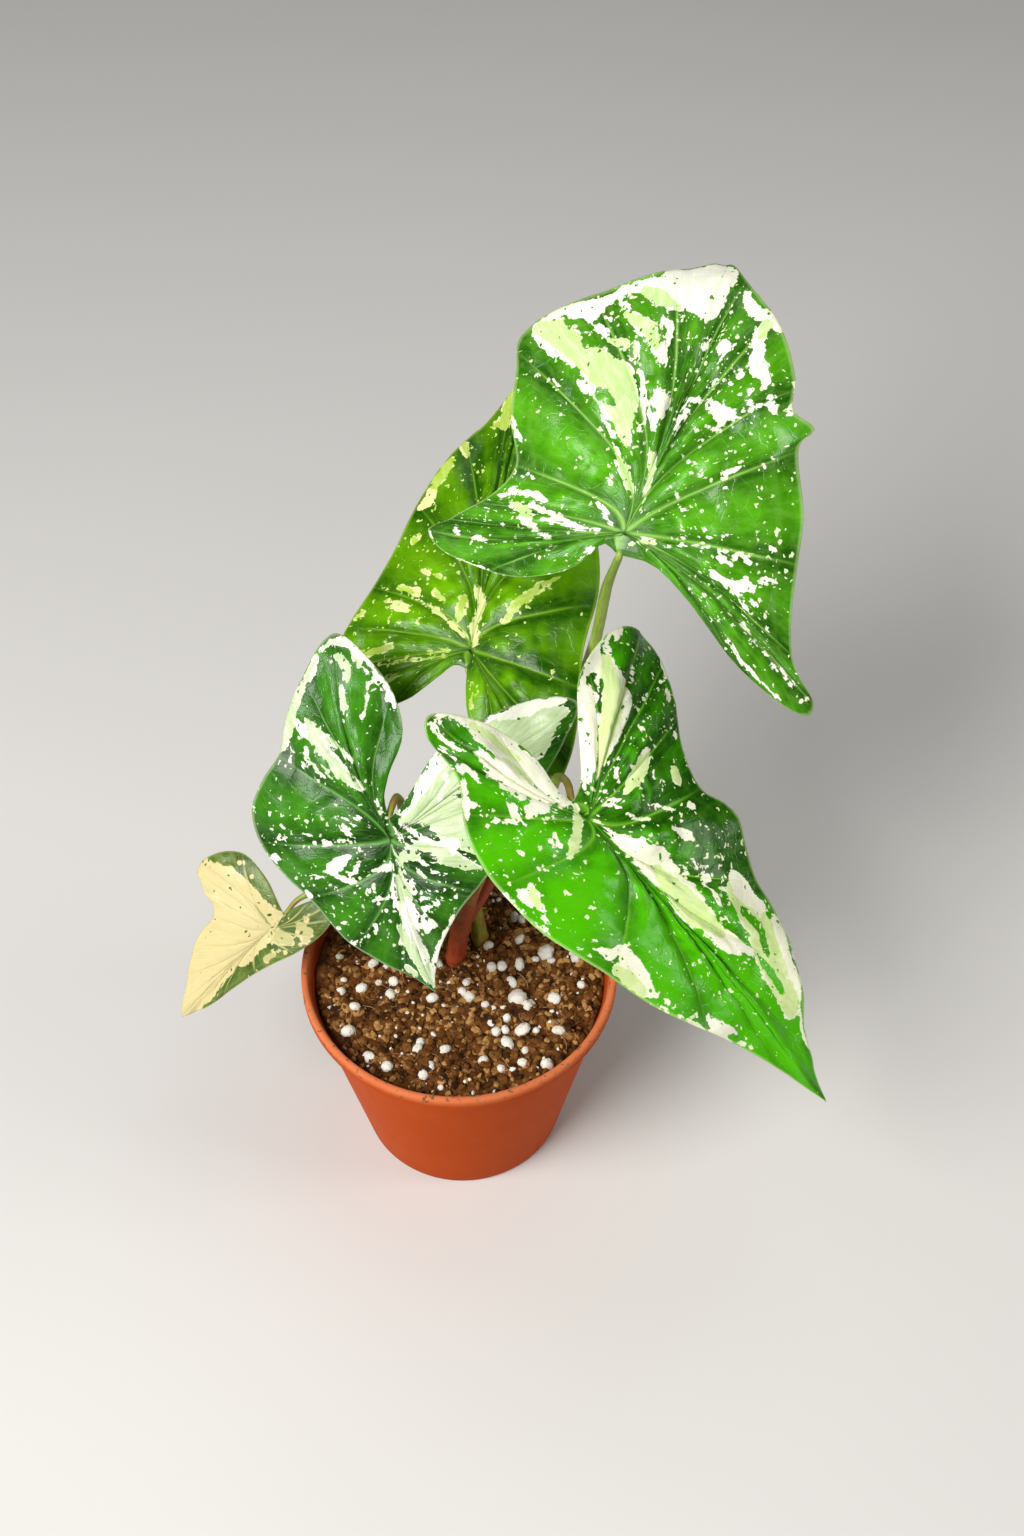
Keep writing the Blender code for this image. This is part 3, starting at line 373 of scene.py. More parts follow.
          (-49.8, -19.2, 0.9), (-47.4, -17.9, 0.6), (-48.5, -10.8, 0.8), (-45.8, -10.3, 0.8),
          (-43.3, -11.2, 0.5), (-47.3, -13.2, 0.7), (-55.3, -9.3, 0.9), (-59.1, -10.5, 0.8),
          (-59.7, -8.9, 0.7), (-54.7, -4.2, 0.6), (-55.3, -6, 0.6), (-50.7, -4.2, 0.6), (-47.6, -2.2, 0.5),
          (-49.8, 0.7, 0.5), (-47.9, 2.9, 0.6), (-35.6, -1.1, 0.8), (-33.6, -0.6, 0.7), (-38.1, -1.1, 0.6),
          (-17.6, -2.2, 0.4), (-19.9, -2.1, 0.4), (-21.4, -1, 0.4), (-20.3, 1.4, 0.4), (-18.1, 2.4, 0.4),
          (-16.9, -0.1, 0.4), (-15.1, 1.1, 0.4), (-23.7, -1.4, 0.4), (-11.4, 2, 0.4), (-10.4, 4.3, 0.4),
          (-16.1, 4.5, 0.4), (-13.3, 5.6, 0.4), (-29.2, 9.4, 0.7), (-27.6, 10.3, 0.5), (-28.2, 12.4, 0.5)),
          ("w", (-32.7, 2.8, 0.6), (-29.5, 3.2, 0.5)), ("w", (-7.3, 7.1, 0.4), (-9.2, 8.9, 0.8),
          (-10.5, 11.3, 0.4)), ("w", (-10.9, 14.1, 0.5), (-12.4, 16.4, 0.6), (-14, 18.6, 0.5),
          (-15.8, 20, 0.6)), ("w", (-19.1, 15.7, 0.3), (-21.7, 18.3, 0.4), (-24.3, 21.6, 0.5),
          (-26.5, 24.2, 0.5)), ("o", (-7.5, 19.3, 0.7), (-10.2, 18.8, 0.3), (-10.8, 20.8, 0.4),
          (-22.1, 24.6, 0.4), (-25.3, 28.1, 0.5), (-28.8, 37.8, 0.6), (-29.4, 39.3, 0.6), (-30.4, 44.2, 0.7),
          (-30.8, 46.6, 0.6), (-10, 25.9, 0.4), (-8.9, 23, 0.4), (-17.1, 30.7, 0.4), (-18.1, 48.7, 0.7),
          (-17.5, 60.5, 0.7), (-14.8, 63.1, 0.9), (-26.9, 51.5, 0.6), (-20.4, 38.9, 0.4), (-39.1, 43.1, 0.5),
          (-40.7, 41, 0.4), (-21.1, 44.6, 0.4)), ("w", (-8.5, 26.8, 0.8), (-10.2, 29.7, 1.2),
          (-11.4, 33.1, 1.4), (-13.1, 36, 1), (-13.7, 39.5, 0.9)), ("w", (-16.2, 39.4, 0.5),
          (-19.7, 42.5, 0.6)), ("w", (-14, 41.3, 0.4), (-16.1, 42.4, 0.4)), ("w", (-19.3, 51, 0.6),
          (-18.7, 54.2, 0.9), (-18, 57.7, 0.7)), ("p", (-24.9, 71.3, 3.2), (-25, 77.7, 3.4),
          (-24.2, 85.4, 3.8), (-23.4, 93.2, 3.2), (-22.8, 101.2, 1.9)), ("w", (-25.4, 61.3, 1.3),
          (-25.7, 65.7, 2.2), (-21.4, 70.7, 2.4), (-21.7, 75.1, 1.5)), ("w", (-31.5, 72.1, 1.4),
          (-31, 79.1, 1.4), (-29.8, 85.6, 1.6)), ("g", (-33.9, 72.9, 0.5), (-32.8, 77.3, 0.5)),
          ("g", (-22.7, 67.5, 0.5), (-23.3, 73.2, 0.6), (-22.3, 77.6, 0.7), (-21.4, 81.2, 0.5)),
          ("g", (-24.1, 81.2, 0.6), (-27.2, 85.1, 0.6)), ("w", (-21.8, 110.1, 1), (-20.6, 114.6, 0.8),
          (-19.7, 119.3, 0.5)), ("w", (-17.9, 97.9, 0.8), (-18.3, 100.3, 0.6)), ("w", (7.9, 83.3, 0.9),
          (8.6, 89, 0.9), (5, 95.1, 0.8)), ("o", (17.7, -6.1, 0.9), (19.8, -4.4, 0.7), (13.7, -2.6, 0.5),
          (22.8, -3.8, 0.5), (23.3, -6.3, 0.5), (25.3, -1.6, 0.5), (28.2, -0.3, 0.4), (27.4, 1.9, 0.5),
          (27.9, 3.8, 0.4), (35.7, 1.4, 0.4), (34.2, -1.5, 0.4), (21.6, 4.4, 0.4), (23.6, 5.9, 0.4),
          (24.6, 10.2, 0.5), (18.4, 14.9, 0.4), (19.5, 18.7, 0.4), (16, 18.8, 0.4), (5.6, 11, 0.4),
          (28.7, -16.6, 0.4), (26.5, -12.8, 0.4), (30.6, -12, 0.4), (28, -4.8, 0.4), (35.8, -11, 0.4),
          (37.9, -6.6, 0.4), (15.3, 4, 0.6), (9.3, 12, 0.5), (35.6, 17.7, 0.5), (33.3, 20.1, 0.6),
          (33.6, 22.4, 0.5), (34.3, 25.8, 0.7), (33.3, 4.3, 0.4), (38.3, 14.5, 0.4), (17.8, 65.1, 0.5),
          (17.6, 67.5, 0.4), (29.2, 34.9, 0.4), (26, 37.9, 0.4), (16.8, 70, 0.6), (11.8, 76.5, 0.5),
          (11.3, 71.3, 0.5), (14.1, 60.9, 0.4), (11, 80.3, 0.6), (23.7, 33.2, 0.4), (13.5, 35.4, 0.5),
          (0.9, 16.4, 0.5)), ("w", (5.5, -1.9, 0.9), (1.5, -0.5, 0.8)), ("w", (8.2, -1.7, 0.6),
          (10.5, -0.8, 0.4)), ("w", (18.9, 18.7, 0.4), (16.8, 19.7, 0.6)), ("w", (-4.1, 18.1, 1),
          (-7.7, 27.1, 2), (-10.5, 37.4, 2.7), (-11.1, 48, 3.1), (-11.3, 62.5, 3.5), (-15.8, 72.1, 2.1)),
          ("p", (-7.7, 35.3, 2.4), (-8.2, 45.8, 4.1), (-9.9, 55.3, 4.1), (-12.7, 63.6, 2.4)),
          ("p", (-27.5, 58.4, 4.8), (-27.5, 70.8, 6.4), (-25, 83.4, 6.8), (-23.1, 94.4, 5.7),
          (-20.6, 102.9, 3)), ("w", (-30.1, 54.2, 2.6), (-29.2, 59.7, 3.4), (-32.6, 68.4, 2.3)),
          ("g", (-26.4, 65.8, 1.3), (-27, 74.5, 1.5)), ("g", (-38.1, 66.2, 1), (-36, 73, 1.2)),
          ("w", (-32.3, 78.5, 1.9), (-30.1, 89.4, 2.3), (-27.4, 97.8, 1.9)), ("g", (-24.9, 64.3, 1.1),
          (-26, 73.8, 1.3), (-23.4, 82.1, 0.9)), ("g", (-20.7, 82.1, 1.5), (-20.7, 90.4, 1.5),
          (-21.2, 96, 0.9)), ("g", (-20.8, 63.6, 0.9), (-19.7, 72, 1.1)), ("g", (-41.1, 68.4, 1),
          (-39.5, 77.7, 1)), ("g", (-35.1, 82.8, 0.8), (-31.3, 90.4, 0.8)), ("g", (-21.1, 53.6, 0.9),
          (-21.3, 59.9, 1.1)), ("o", (-29.4, 65, 0.8), (-30.1, 71.1, 0.8), (-20.4, 69.5, 0.7),
          (-27.9, 78.4, 0.8), (-19.2, 76.8, 0.7), (-17.8, 85.7, 0.7), (-26, 86.2, 0.8), (-25.5, 93.1, 0.8),
          (-16.1, 92, 0.7), (-16.8, 58.6, 0.7), (-17.5, 63.2, 0.7), (-15, 69.4, 0.7)),
          ("w", (24, -48.2, 0.7), (23.8, -44.8, 1), (22.7, -40.9, 0.7), (21.6, -36.7, 0.7)),
          ("w", (22.5, -48.9, 0.7), (20.8, -47.3, 0.7)), ("w", (25.2, -41.2, 0.6), (24.7, -37.7, 0.6)),
          ("w", (24.1, -32.4, 0.6), (23.8, -28.7, 0.7), (23.5, -25.1, 0.9)), ("w", (19.6, -24.4, 0.6),
          (18.2, -20.9, 0.7), (17.5, -17.2, 0.6)), ("w", (20.9, -14.9, 0.6), (20, -11, 1.3),
          (20.3, -7.6, 1)),
        ]),
    "frontLeaf": dict(
        node="leaf_front", seed=3,
        hub=(-23, 2, 180), aim=(-84, -50, 18), droop=(18, 75, 1), lobe=(15, 55), fold=10, arch=(22, 50),
        wave=(1.1, 4, 0.9),
        outline=[(0, 0), (-5, -4), (-11, -12), (-19, -23), (-31, -31), (-46, -38), (-60, -41),
                 (-69, -38), (-64, -26), (-52, -7), (-42, 10), (-32, 23), (-23, 33), (-15, 46),
                 (-11, 57), (-10, 65), (-5, 61), (7, 54), (19, 44), (29, 31), (40, 20), (49, 8),
                 (51, -4), (45, -15), (38, -24), (36, -34), (28, -52), (17, -65), (4, -55),
                 (-5, -41), (-7, -29), (-2, -18), (1, -9)],
        tips=(7, 10, 15, 21, 27), ribs=((-32, -14), (-3, 36), (15, -26)),
        deep=(0.006, 0.045, 0.001), bright=(0.050, 0.25, 0.006),
        pale=(0.50, 0.64, 0.34), white=(0.92, 0.94, 0.80),
        vein=(0.13, 0.36, 0.06), ragged=1.25, speckle=0.22, quilt=3.2, puckers=[],
        tonesAndShading=[(30, 0, 22, 0.3), (10, -40, 18, 0.7), (-15, 15, 14, -0.9), (8, 8, 12, -0.6),
               (20, 30, 20, 0.3)],
        specks=[(20, 20, 30, 0.7), (-5, 20, 20, 0.6), (-8, 40, 15, 0.6), (40, 0, 16, 0.3)],
        marks=[
          ("p", (19.4, -61.6, 0.6), (23.1, -57.9, 0.6), (26.7, -51.9, 0.7), (30.1, -46, 0.8),
          (33, -40.9, 0.9), (35.6, -34.9, 0.8), (37.3, -28, 0.5)), ("p", (13.1, -62.8, 1), (10, -58.3, 1.4),
          (7.3, -53.5, 1.3), (3.4, -51.2, 0.8), (-0.1, -46.8, 1), (-2.9, -42.3, 1), (-4.6, -39.3, 0.7)),
          ("w", (32.6, -36.1, 1.1), (29, -32.1, 1.8), (25.3, -29.8, 2), (20.5, -25.8, 1.6),
          (15.8, -19.6, 1.4), (11.6, -14.3, 1.1), (8.1, -10.9, 0.6)), ("w", (-2.2, 31.1, 2.1),
          (-4.2, 38.6, 2.3), (-5.3, 44.3, 1.9), (-7.4, 50.1, 1.8), (-9.4, 56.9, 1.4), (-11, 63, 0.6)),
          ("w", (12.2, -62.6, 0.7), (9.5, -59.2, 1.2), (6.4, -56.1, 1.6), (2.9, -50.8, 1.7),
          (-0.3, -45.9, 1.2), (-2.9, -41.5, 0.8), (-4.4, -39.5, 0.5)), ("p", (18.6, -62.9, 0.9),
          (14.9, -61.9, 1.1)), ("p", (15.3, -57.1, 1.6), (12.6, -53.2, 2.1), (12, -47.8, 0.8)),
          ("p", (24, -55.4, 1.2), (27.5, -49.3, 1.4), (29.6, -44.2, 1.6), (31.4, -39.9, 2),
          (33.6, -34.8, 1.8), (34.8, -30.5, 1.3), (37.5, -24.5, 0.8)), ("p", (27, -35.3, 1.1),
          (24.3, -32.6, 2.1), (24.5, -27.6, 2), (21, -23.2, 2.1), (17.6, -19.7, 2.1), (13.4, -15, 1.6),
          (9, -11.4, 0.8)), ("g", (27.3, -27.3, 0.6), (23.7, -24.6, 0.5), (20.3, -19.8, 0.5),
          (17.8, -16.2, 0.4)), ("p", (14.9, -47.6, 0.4), (13.6, -42.8, 1.2), (12.8, -39.4, 1.1),
          (12.7, -37.5, 0.4)), ("p", (5.3, -50.4, 0.3), (5.7, -41.7, 0.4), (7.1, -32.3, 0.3)),
          ("p", (3.8, -6.3, 0.4), (1.4, -2.9, 0.5)), ("w", (24.6, 19.1, 0.7), (21.5, 16.4, 1.8),
          (18.5, 14, 2), (15.5, 13, 0.9)), ("w", (20.9, 19.2, 0.9), (15.5, 21.3, 1.4)),
          ("w", (7.2, 18.3, 0.6), (3.6, 17.1, 1.3), (0.7, 16.9, 1.3)), ("w", (18.7, 2.3, 0.4),
          (14.8, 4, 0.9), (12.3, 6.1, 0.6)), ("w", (17.1, -0.5, 0.4), (9.9, -1.1, 0.4)),
          ("w", (32.5, 25.6, 0.7), (31.1, 27.1, 0.8)), ("w", (45.4, -6.7, 0.5), (42.2, -6, 0.7)),
          ("w", (45.2, 13, 0.8), (42.2, 13.1, 0.8)), ("w", (41.4, 6.1, 0.4), (34.5, 5.5, 0.5),
          (28.6, 4.2, 0.6)), ("w", (26.1, -2.4, 0.4), (23.4, -1.9, 0.4)), ("p", (-0.4, 9.2, 0.4),
          (-3.1, 14.5, 0.8), (-3.4, 20.9, 1.1)), ("p", (-2.4, 21.8, 2.1), (-3.6, 27.3, 3), (-5, 23.6, 2.1)),
          ("w", (-4, 31, 3.1), (-5.9, 34, 3), (-6.4, 37.7, 2.1)), ("p", (-0.2, 38.9, 0.9), (-1.6, 44.6, 2),
          (-3.8, 48.3, 2.2), (-6.3, 52.3, 2.4), (-7.5, 57.3, 1.8), (-9.6, 62.2, 0.9)),
          ("w", (-5.7, 41.4, 0.9), (-6.8, 47.2, 1.2), (-8.4, 53, 1)), ("w", (-21.9, 31.6, 0.3),
          (-19.5, 37.2, 0.6), (-17.1, 42, 0.9), (-13.7, 46.9, 1.1), (-11, 52.9, 1.2)),
          ("w", (-13, 36.4, 1.7), (-10.6, 40.4, 1)), ("g", (-8.9, 46.1, 1.4), (-11.1, 44, 1)),
          ("p", (-0.8, 55.6, 1.4), (-3.5, 58, 1.6)), ("w", (8.7, 38.3, 0.7), (8.3, 40.7, 0.7)),
          ("w", (17.6, 43.7, 0.6), (16.9, 45.2, 0.6)), ("w", (11.1, 29.2, 0.4), (5.7, 28.5, 0.5),
          (1, 27.9, 0.4)), ("p", (-5.5, 0.2, 1.5), (-12.3, -3.3, 4.5), (-19.6, -3.3, 7.1), (-26.3, 2.1, 7.9),
          (-32.9, 7.5, 6.1)), ("p", (-16.5, -12, 5.3), (-24.8, -15.2, 7), (-38.3, -23.3, 9.4),
          (-51.3, -28, 8.5), (-61.7, -32.8, 5.2)), ("w", (-6, -0.7, 0.5), (-10.7, -6.8, 1.1),
          (-15.2, -12.8, 1.9), (-18.7, -18.8, 2.1)), ("w", (-4.4, 1.5, 0.5), (-11.6, 5.6, 1.1),
          (-17.6, 9.9, 1.8), (-22.9, 11.2, 2), (-26.1, 15.3, 1.6), (-31.2, 17.7, 1.1)),
          ("w", (-38.7, -34.2, 1), (-47.3, -35.6, 2.2), (-55.9, -38.5, 2.1), (-64.4, -39.7, 1.4)),
          ("w", (-19.1, -26.4, 0.9), (-22.9, -13.5, 0.7), (-19.8, -6.7, 0.5)), ("g", (-6, 4.8, 0.8),
          (-11.3, 9, 1.2), (-15.6, 12.1, 1.8), (-17.3, 13.4, 1.1)), ("g", (-19.8, 15.4, 1.1),
          (-24.3, 17.6, 1.3)), ("g", (-30.6, 14.1, 1.1), (-32.6, 16.4, 1.2)), ("g", (-58.6, -18.3, 0.8),
          (-60.3, -23.3, 1.4), (-63.5, -29.2, 1.7), (-67.3, -35.2, 1.2)), ("g", (26.8, -48.4, 0.5),
          (28.7, -42.4, 0.6), (31.2, -35.6, 0.5)), ("g", (24, -52.7, 0.4), (25.4, -49.7, 0.4)),
          ("g", (10, -55.7, 0.4), (8.6, -51.3, 0.5)), ("p", (-2.1, 23.7, 1.5), (-2.4, 29.2, 1.3)),
          ("p", (-1.5, 40.2, 1.3), (-3.9, 48.8, 1.5), (-7.5, 57.3, 0.9)), ("w", (31, -27.8, 0.5),
          (29.9, -23, 0.3)), ("w", (28.1, -26.7, 0.4), (25.9, -21.2, 0.3)), ("w", (33, -26.1, 0.5),
          (34.2, -21.4, 0.3)), ("w", (4.1, -7, 0.6), (2.6, -4.8, 0.6), (0.8, -2.3, 0.4)),
          ("w", (23.5, 17.8, 1.1), (18.7, 15.6, 1.5), (15, 13, 1.1)), ("w", (15.4, 19.3, 0.9),
          (13, 17.4, 0.9), (11.2, 14.9, 0.6)), ("w", (31.8, 20.1, 0.5), (28.4, 19.6, 0.6),
          (25.2, 19.9, 0.7)), ("w", (15.6, 20.7, 0.9), (13.7, 21.4, 0.6)), ("w", (-4.3, 21.8, 0.7),
          (-7.1, 22.6, 0.8), (-7.8, 25.8, 0.7)), ("w", (-0.6, 20.1, 0.6), (0.7, 25.6, 0.5),
          (0.2, 31.2, 0.7)), ("w", (-11.5, 25.2, 0.4), (-16, 25.6, 0.4)), ("w", (-9.3, 28, 0.4),
          (-13.3, 27.5, 0.4)), ("w", (-10.7, 31.9, 0.5), (-16.5, 29.8, 0.4)), ("w", (-15.8, 27.9, 0.4),
          (-19.7, 27.4, 0.4)), ("w", (-8.7, 16.2, 0.6), (-10.3, 18.9, 0.7), (-12.1, 20.6, 0.5)),
          ("w", (-12, 15.2, 0.5), (-14.5, 16.1, 0.5)), ("w", (-15.4, 18.4, 0.4), (-20.4, 19, 0.4)),
          ("w", (-4.1, 4.6, 0.5), (-5.9, 8.3, 0.6), (-9.2, 11.2, 0.6), (-12, 12.7, 0.5)),
          ("w", (-2.2, 2.7, 0.6), (-4.1, 6.6, 0.6)), ("w", (-7.8, 6.3, 0.5), (-11.3, 9, 0.5),
          (-13.3, 11.5, 0.5)), ("w", (-10.4, 34.5, 1.1), (-10, 37.6, 0.9)), ("w", (-13.5, 35.4, 0.7),
          (-11.8, 39.4, 0.8)), ("w", (-20.5, 36.4, 0.3), (-17.2, 41, 0.7), (-14.5, 47.8, 1),
          (-12.6, 54.8, 1.1), (-11.3, 60.9, 0.8)), ("g", (-8.7, 44.3, 0.8), (-11.5, 42.1, 0.8)),
          ("g", (-15.7, 36.3, 0.7), (-14.4, 39.6, 0.6)), ("w", (16.4, 1.3, 0.4), (13.2, 0.5, 0.6),
          (10.8, 1.3, 0.4)), ("w", (20.6, 7.3, 0.5), (16, 6.7, 0.7), (12.7, 5.7, 0.6)),
          ("w", (44.9, -16.7, 0.6), (47.1, -14.7, 0.5)), ("o", (23.7, 30.4, 0.6), (24.7, 35, 0.5),
          (21.8, 35, 0.5), (21.5, 38.8, 0.5), (18.5, 36.9, 0.6), (14.7, 36.1, 0.5), (4.4, 40.1, 0.6),
          (15.8, 43.9, 0.6), (9.5, 41.1, 0.6), (16.9, 38.4, 0.5), (12.8, 42.4, 0.5), (8, 36.4, 0.5),
          (38.5, 6.5, 0.5), (37, 10.5, 0.5), (46.2, 8.5, 0.5), (44.8, 7.3, 0.5), (43, 15.7, 0.6),
          (42.3, 13.8, 0.5), (36.1, 15.5, 0.5), (32.4, 12.8, 0.5), (30.2, 10.5, 0.5), (34.3, 8.2, 0.5),
          (40.9, 18.4, 0.5), (39.3, 22.1, 0.5), (34.6, 22.9, 0.5), (46.8, -11.8, 0.5), (40.1, -7.8, 0.5),
          (43.5, -2.5, 0.5), (38.9, 1.1, 0.5), (38.2, 8.3, 0.4), (27.1, 7.3, 0.5), (23.3, 6.5, 0.5),
          (9.5, 30.6, 0.5), (5.9, 29.9, 0.5), (3.5, 32.9, 0.5), (2.7, 36.7, 0.5), (8.9, 25.1, 0.5),
          (6.6, 24.3, 0.5), (18.2, 27.5, 0.6), (21, 23.8, 0.6), (-22.2, 27.9, 0.5), (-18.8, 25.2, 0.5),
          (-21.3, 23.3, 0.4), (-23.6, 22.5, 0.4), (-17.3, 22.4, 0.4), (-6, 31.9, 0.6), (-7.9, 39.4, 0.6),
          (29.1, -19.1, 0.5), (27, -16.4, 0.5), (36.2, -20.1, 0.5), (22.1, -21.1, 0.4), (19.4, -19.7, 0.4),
          (0.7, -51.2, 0.5), (-0.2, -53.7, 0.5)), ("p", (-4.3, 13.4, 2), (-11.7, 10.4, 3.2),
          (-20.2, 12.7, 2.7), (-27.2, 16.2, 2.2), (-32, 18.6, 1)), ("w", (-20.6, 7.6, 1.5), (-25, 8.8, 1.7),
          (-23.1, 11.9, 0.9)), ("g", (-11, 11.8, 1.2), (-14.4, 12.6, 1.5), (-17, 13.3, 0.9)),
          ("g", (-29.9, 14.3, 1), (-31.4, 15.4, 0.9)), ("g", (-3.2, 9.4, 0.8), (-6.7, 11.2, 0.7)),
          ("p", (31.7, -24.7, 0.7), (20.9, -19.2, 0.9), (10.5, -12.8, 0.7)), ("p", (29.4, -20.4, 0.5),
          (19.7, -15.7, 0.7), (13.2, -11.9, 0.4)), ("p", (24.4, -32.3, 0.8), (17.1, -26.9, 0.9),
          (11.3, -20.9, 0.5)), ("g", (31, -50, 0.7), (32.2, -46.2, 0.8)), ("g", (34.3, -40.8, 0.7),
          (34.9, -37.8, 0.5)), ("g", (27.5, -55.1, 0.7), (28.9, -52.8, 0.5)), ("g", (35.9, -33.9, 0.7),
          (35.5, -30.7, 0.5)), ("g", (6.5, -54.4, 0.7), (4.5, -51.8, 0.5)), ("g", (1, -47.2, 0.5),
          (-0.7, -44.5, 0.5)), ("g", (10.2, -60.8, 0.5), (8.9, -58.4, 0.5)), ("w", (23.7, 8.4, 0.7),
          (13.2, 5.3, 0.5)), ("w", (36.2, -1.8, 0.4), (26.5, 1, 0.4)), ("w", (18.1, -0.2, 0.4),
          (8.6, -0.9, 0.5)),
        ]),
    "backLeaf": dict(
        node="leaf_back", seed=4,
        hub=(4, 55, 200), aim=(79, 30, -10), droop=(20, 124, 1), lobe=(15, 50), fold=10, arch=(25, 47),
        wave=(1.6, 4, 2.6),
        outline=[(0, 0), (-5, 1), (-10, -4), (-20, -13), (-32, -17), (-43, -12), (-51, 4),
                 (-48, 14), (-43, 28), (-36, 47), (-30, 66), (-21, 86), (-10, 108), (-2, 128),
                 (10, 113), (23, 91), (34, 66), (41, 44), (43, 28), (41, 10), (43, -10), (42, -30),
                 (36, -43), (26, -42), (12, -30), (4, -18), (1, -8)],
        tips=(5, 8, 13, 18, 22), ribs=((-24, -4), (0, 70), (21, -18)),
        deep=(0.012, 0.080, 0.0), bright=(0.15, 0.42, 0.0),
        pale=(0.40, 0.58, 0.06), white=(0.78, 0.83, 0.38),
        vein=(0.20, 0.42, 0.02), ragged=1.5, speckle=0.3, quilt=2.8, puckers=[],
        tonesAndShading=[(-25, 10, 25, 0.5), (5, 25, 18, 0.4), (25, 10, 20, -0.6), (-5, 85, 14, -0.8),
               (5, -10, 10, 0.8), (20, -25, 16, -0.5), (35, 45, 12, 0.6)],
        specks=[(-25, 30, 30, 0.6), (0, 80, 25, 0.5)],
        marks=[
          ("w", (1.4, 8.9, 1.2), (-0.1, 16.4, 1.9), (1.4, 24, 1.8), (-1.2, 29.6, 1.1)),
          ("w", (-1.9, 11.4, 0.9), (-6, 13.6, 1.1), (-12.6, 18.5, 1.1), (-18, 21.7, 0.9)),
          ("p", (-6, 18.4, 1.7), (-5.4, 25.1, 1.5)), ("p", (-17, 26.6, 1.3), (-12.7, 24.2, 1.7)),
          ("w", (-32, 20.3, 1.4), (-29.3, 20.4, 2.2), (-25, 18.3, 1.2)), ("p", (-35.6, 22.5, 1.2)),
          ("p", (-31, 27.6, 1.4), (-23.7, 26.1, 1.2)), ("p", (-6.7, 113.2, 1.9), (-7.3, 105.9, 2.3),
          (-6.3, 97.9, 2.5), (-10.3, 98.4, 1.9)), ("p", (-19.1, 86.7, 1.9), (-17.2, 83, 1.2)),
          ("p", (-22.2, 79.4, 1.7), (-24, 74.4, 2.5), (-26.5, 68.4, 2.1)), ("w", (-27.2, 63.1, 2.5),
          (-29.5, 59.9, 1.8)), ("p", (-30.3, 46.5, 1.8), (-28.3, 48.6, 1.2)), ("p", (-24.2, 59, 1.4)),
          ("p", (-42.2, 2, 1.2), (-35, 3, 1.6), (-29.7, 4.7, 1.2)), ("w", (-22.7, 1.9, 1)),
          ("p", (-14.5, 4, 1.1), (-8.3, 5.8, 1.1)), ("p", (-29.9, -7.4, 1.3), (-24.2, -5.1, 0.9)),
          ("p", (-33, -2.1, 0.6), (-18.7, 0.9, 0.7), (-8.8, 3.4, 0.6)), ("p", (11.3, 18.4, 0.9),
          (15.8, 24.9, 2.1), (21.9, 32.1, 1.5), (28.4, 36.7, 0.9)), ("p", (-22.7, 34.9, 1),
          (-16.4, 32.5, 1.1)), ("w", (1.6, -5, 1)), ("p", (3.6, -14, 1.3), (5.6, -8.4, 1.1)),
          ("p", (-44.6, 17.5, 1.2), (-46.2, 14.6, 1)),
        ]),
    "lowLeaf": dict(
        node="leaf_low", seed=5, rows=60,
        hub=(-64, 0, 126), aim=(-155, -42, -30), droop=(15, 62, 1), lobe=(5, 25), fold=10, arch=(20, 30),
        wave=(0.7, 4, 0.2),
        outline=[(0, 0), (-1, -6), (-4, -13), (-9, -17), (-14, -14), (-15, -5), (-13, 6), (-10, 15),
                 (-7, 26), (-5, 38), (-3, 50), (2, 65), (8, 55), (14, 42), (18, 32), (19, 21),
                 (26, 18), (35, 16), (37, 11), (33, 1), (25, -5), (14, -5), (5, -2)],
        tips=(3, 6, 11, 15, 18), ribs=((-7, -5), (2, 36), (17, 5)),
        deep=(0.04, 0.10, 0.008), bright=(0.13, 0.22, 0.03),
        pale=(0.50, 0.48, 0.20), white=(0.70, 0.60, 0.30),
        vein=(0.60, 0.58, 0.22), ragged=0.9, speckle=0.3, quilt=1.4, puckers=[],
        tonesAndShading=[], specks=[(-6, 5, 14, 0.5)],
        marks=[
          ("w", (0.5, 0, 0.8), (4.4, 4.3, 4.4), (11, 7.3, 5.9), (19, 9.4, 6.5), (26.2, 9.8, 6.1),
          (30.1, 11.5, 5.6)), ("w", (1.2, 5, 2.4), (2.9, 11.9, 4.4), (6, 19, 6.5), (6.3, 29, 7.1),
          (5, 39, 6.8), (4, 48.2, 5.9), (2.4, 56.1, 4.4), (1.1, 63, 2.2)), ("p", (9.9, 14.6, 1.5),
          (4.2, 10.5, 1)), ("g", (30.8, 0.4, 1.1), (27.3, -3, 1.3), (21.8, -4.3, 1.7), (15.8, -3.4, 1.6),
          (9.9, -2.4, 1.2)), ("w", (24.7, -3.1, 0.8)), ("g", (-2.2, 2.5, 1), (-3.5, 8.1, 1),
          (-4.1, 14.7, 1.3), (-3.9, 23.8, 1.5), (-3, 32.5, 1.6), (-2.7, 39.8, 1.3)), ("w", (-4.6, 6.6, 3)),
          ("g", (-4.7, 6.3, 0.5)), ("w", (-9, -1.8, 2.4)), ("w", (-7.3, -6.2, 1.3)),
          ("w", (-7.1, 16.9, 1.7)), ("w", (-10.6, 8.4, 1.2)), ("w", (-12.6, 1.8, 0.8)),
          ("g", (-3.3, -2.2, 1.3), (-5, -9.1, 1.2)), ("w", (9, 14, 6), (12, 24, 7.5), (11, 36, 7.5),
          (9, 46, 6), (5, 56, 4.5), (3, 63, 2)), ("w", (10, 12, 5), (20, 15, 7), (29, 14, 6.5), (34, 12, 4)),
          ("w", (0, 10, 3.5), (1, 24, 4)), ("w", (30.3, 9.8, 4), (24.3, 6.1, 4.8), (15.1, 4.9, 4.7),
          (6.9, 4.6, 3.9)), ("p", (-4.8, 6.4, 2.6), (-8.4, 4.3, 2)), ("p", (-6.9, -2.7, 1.8),
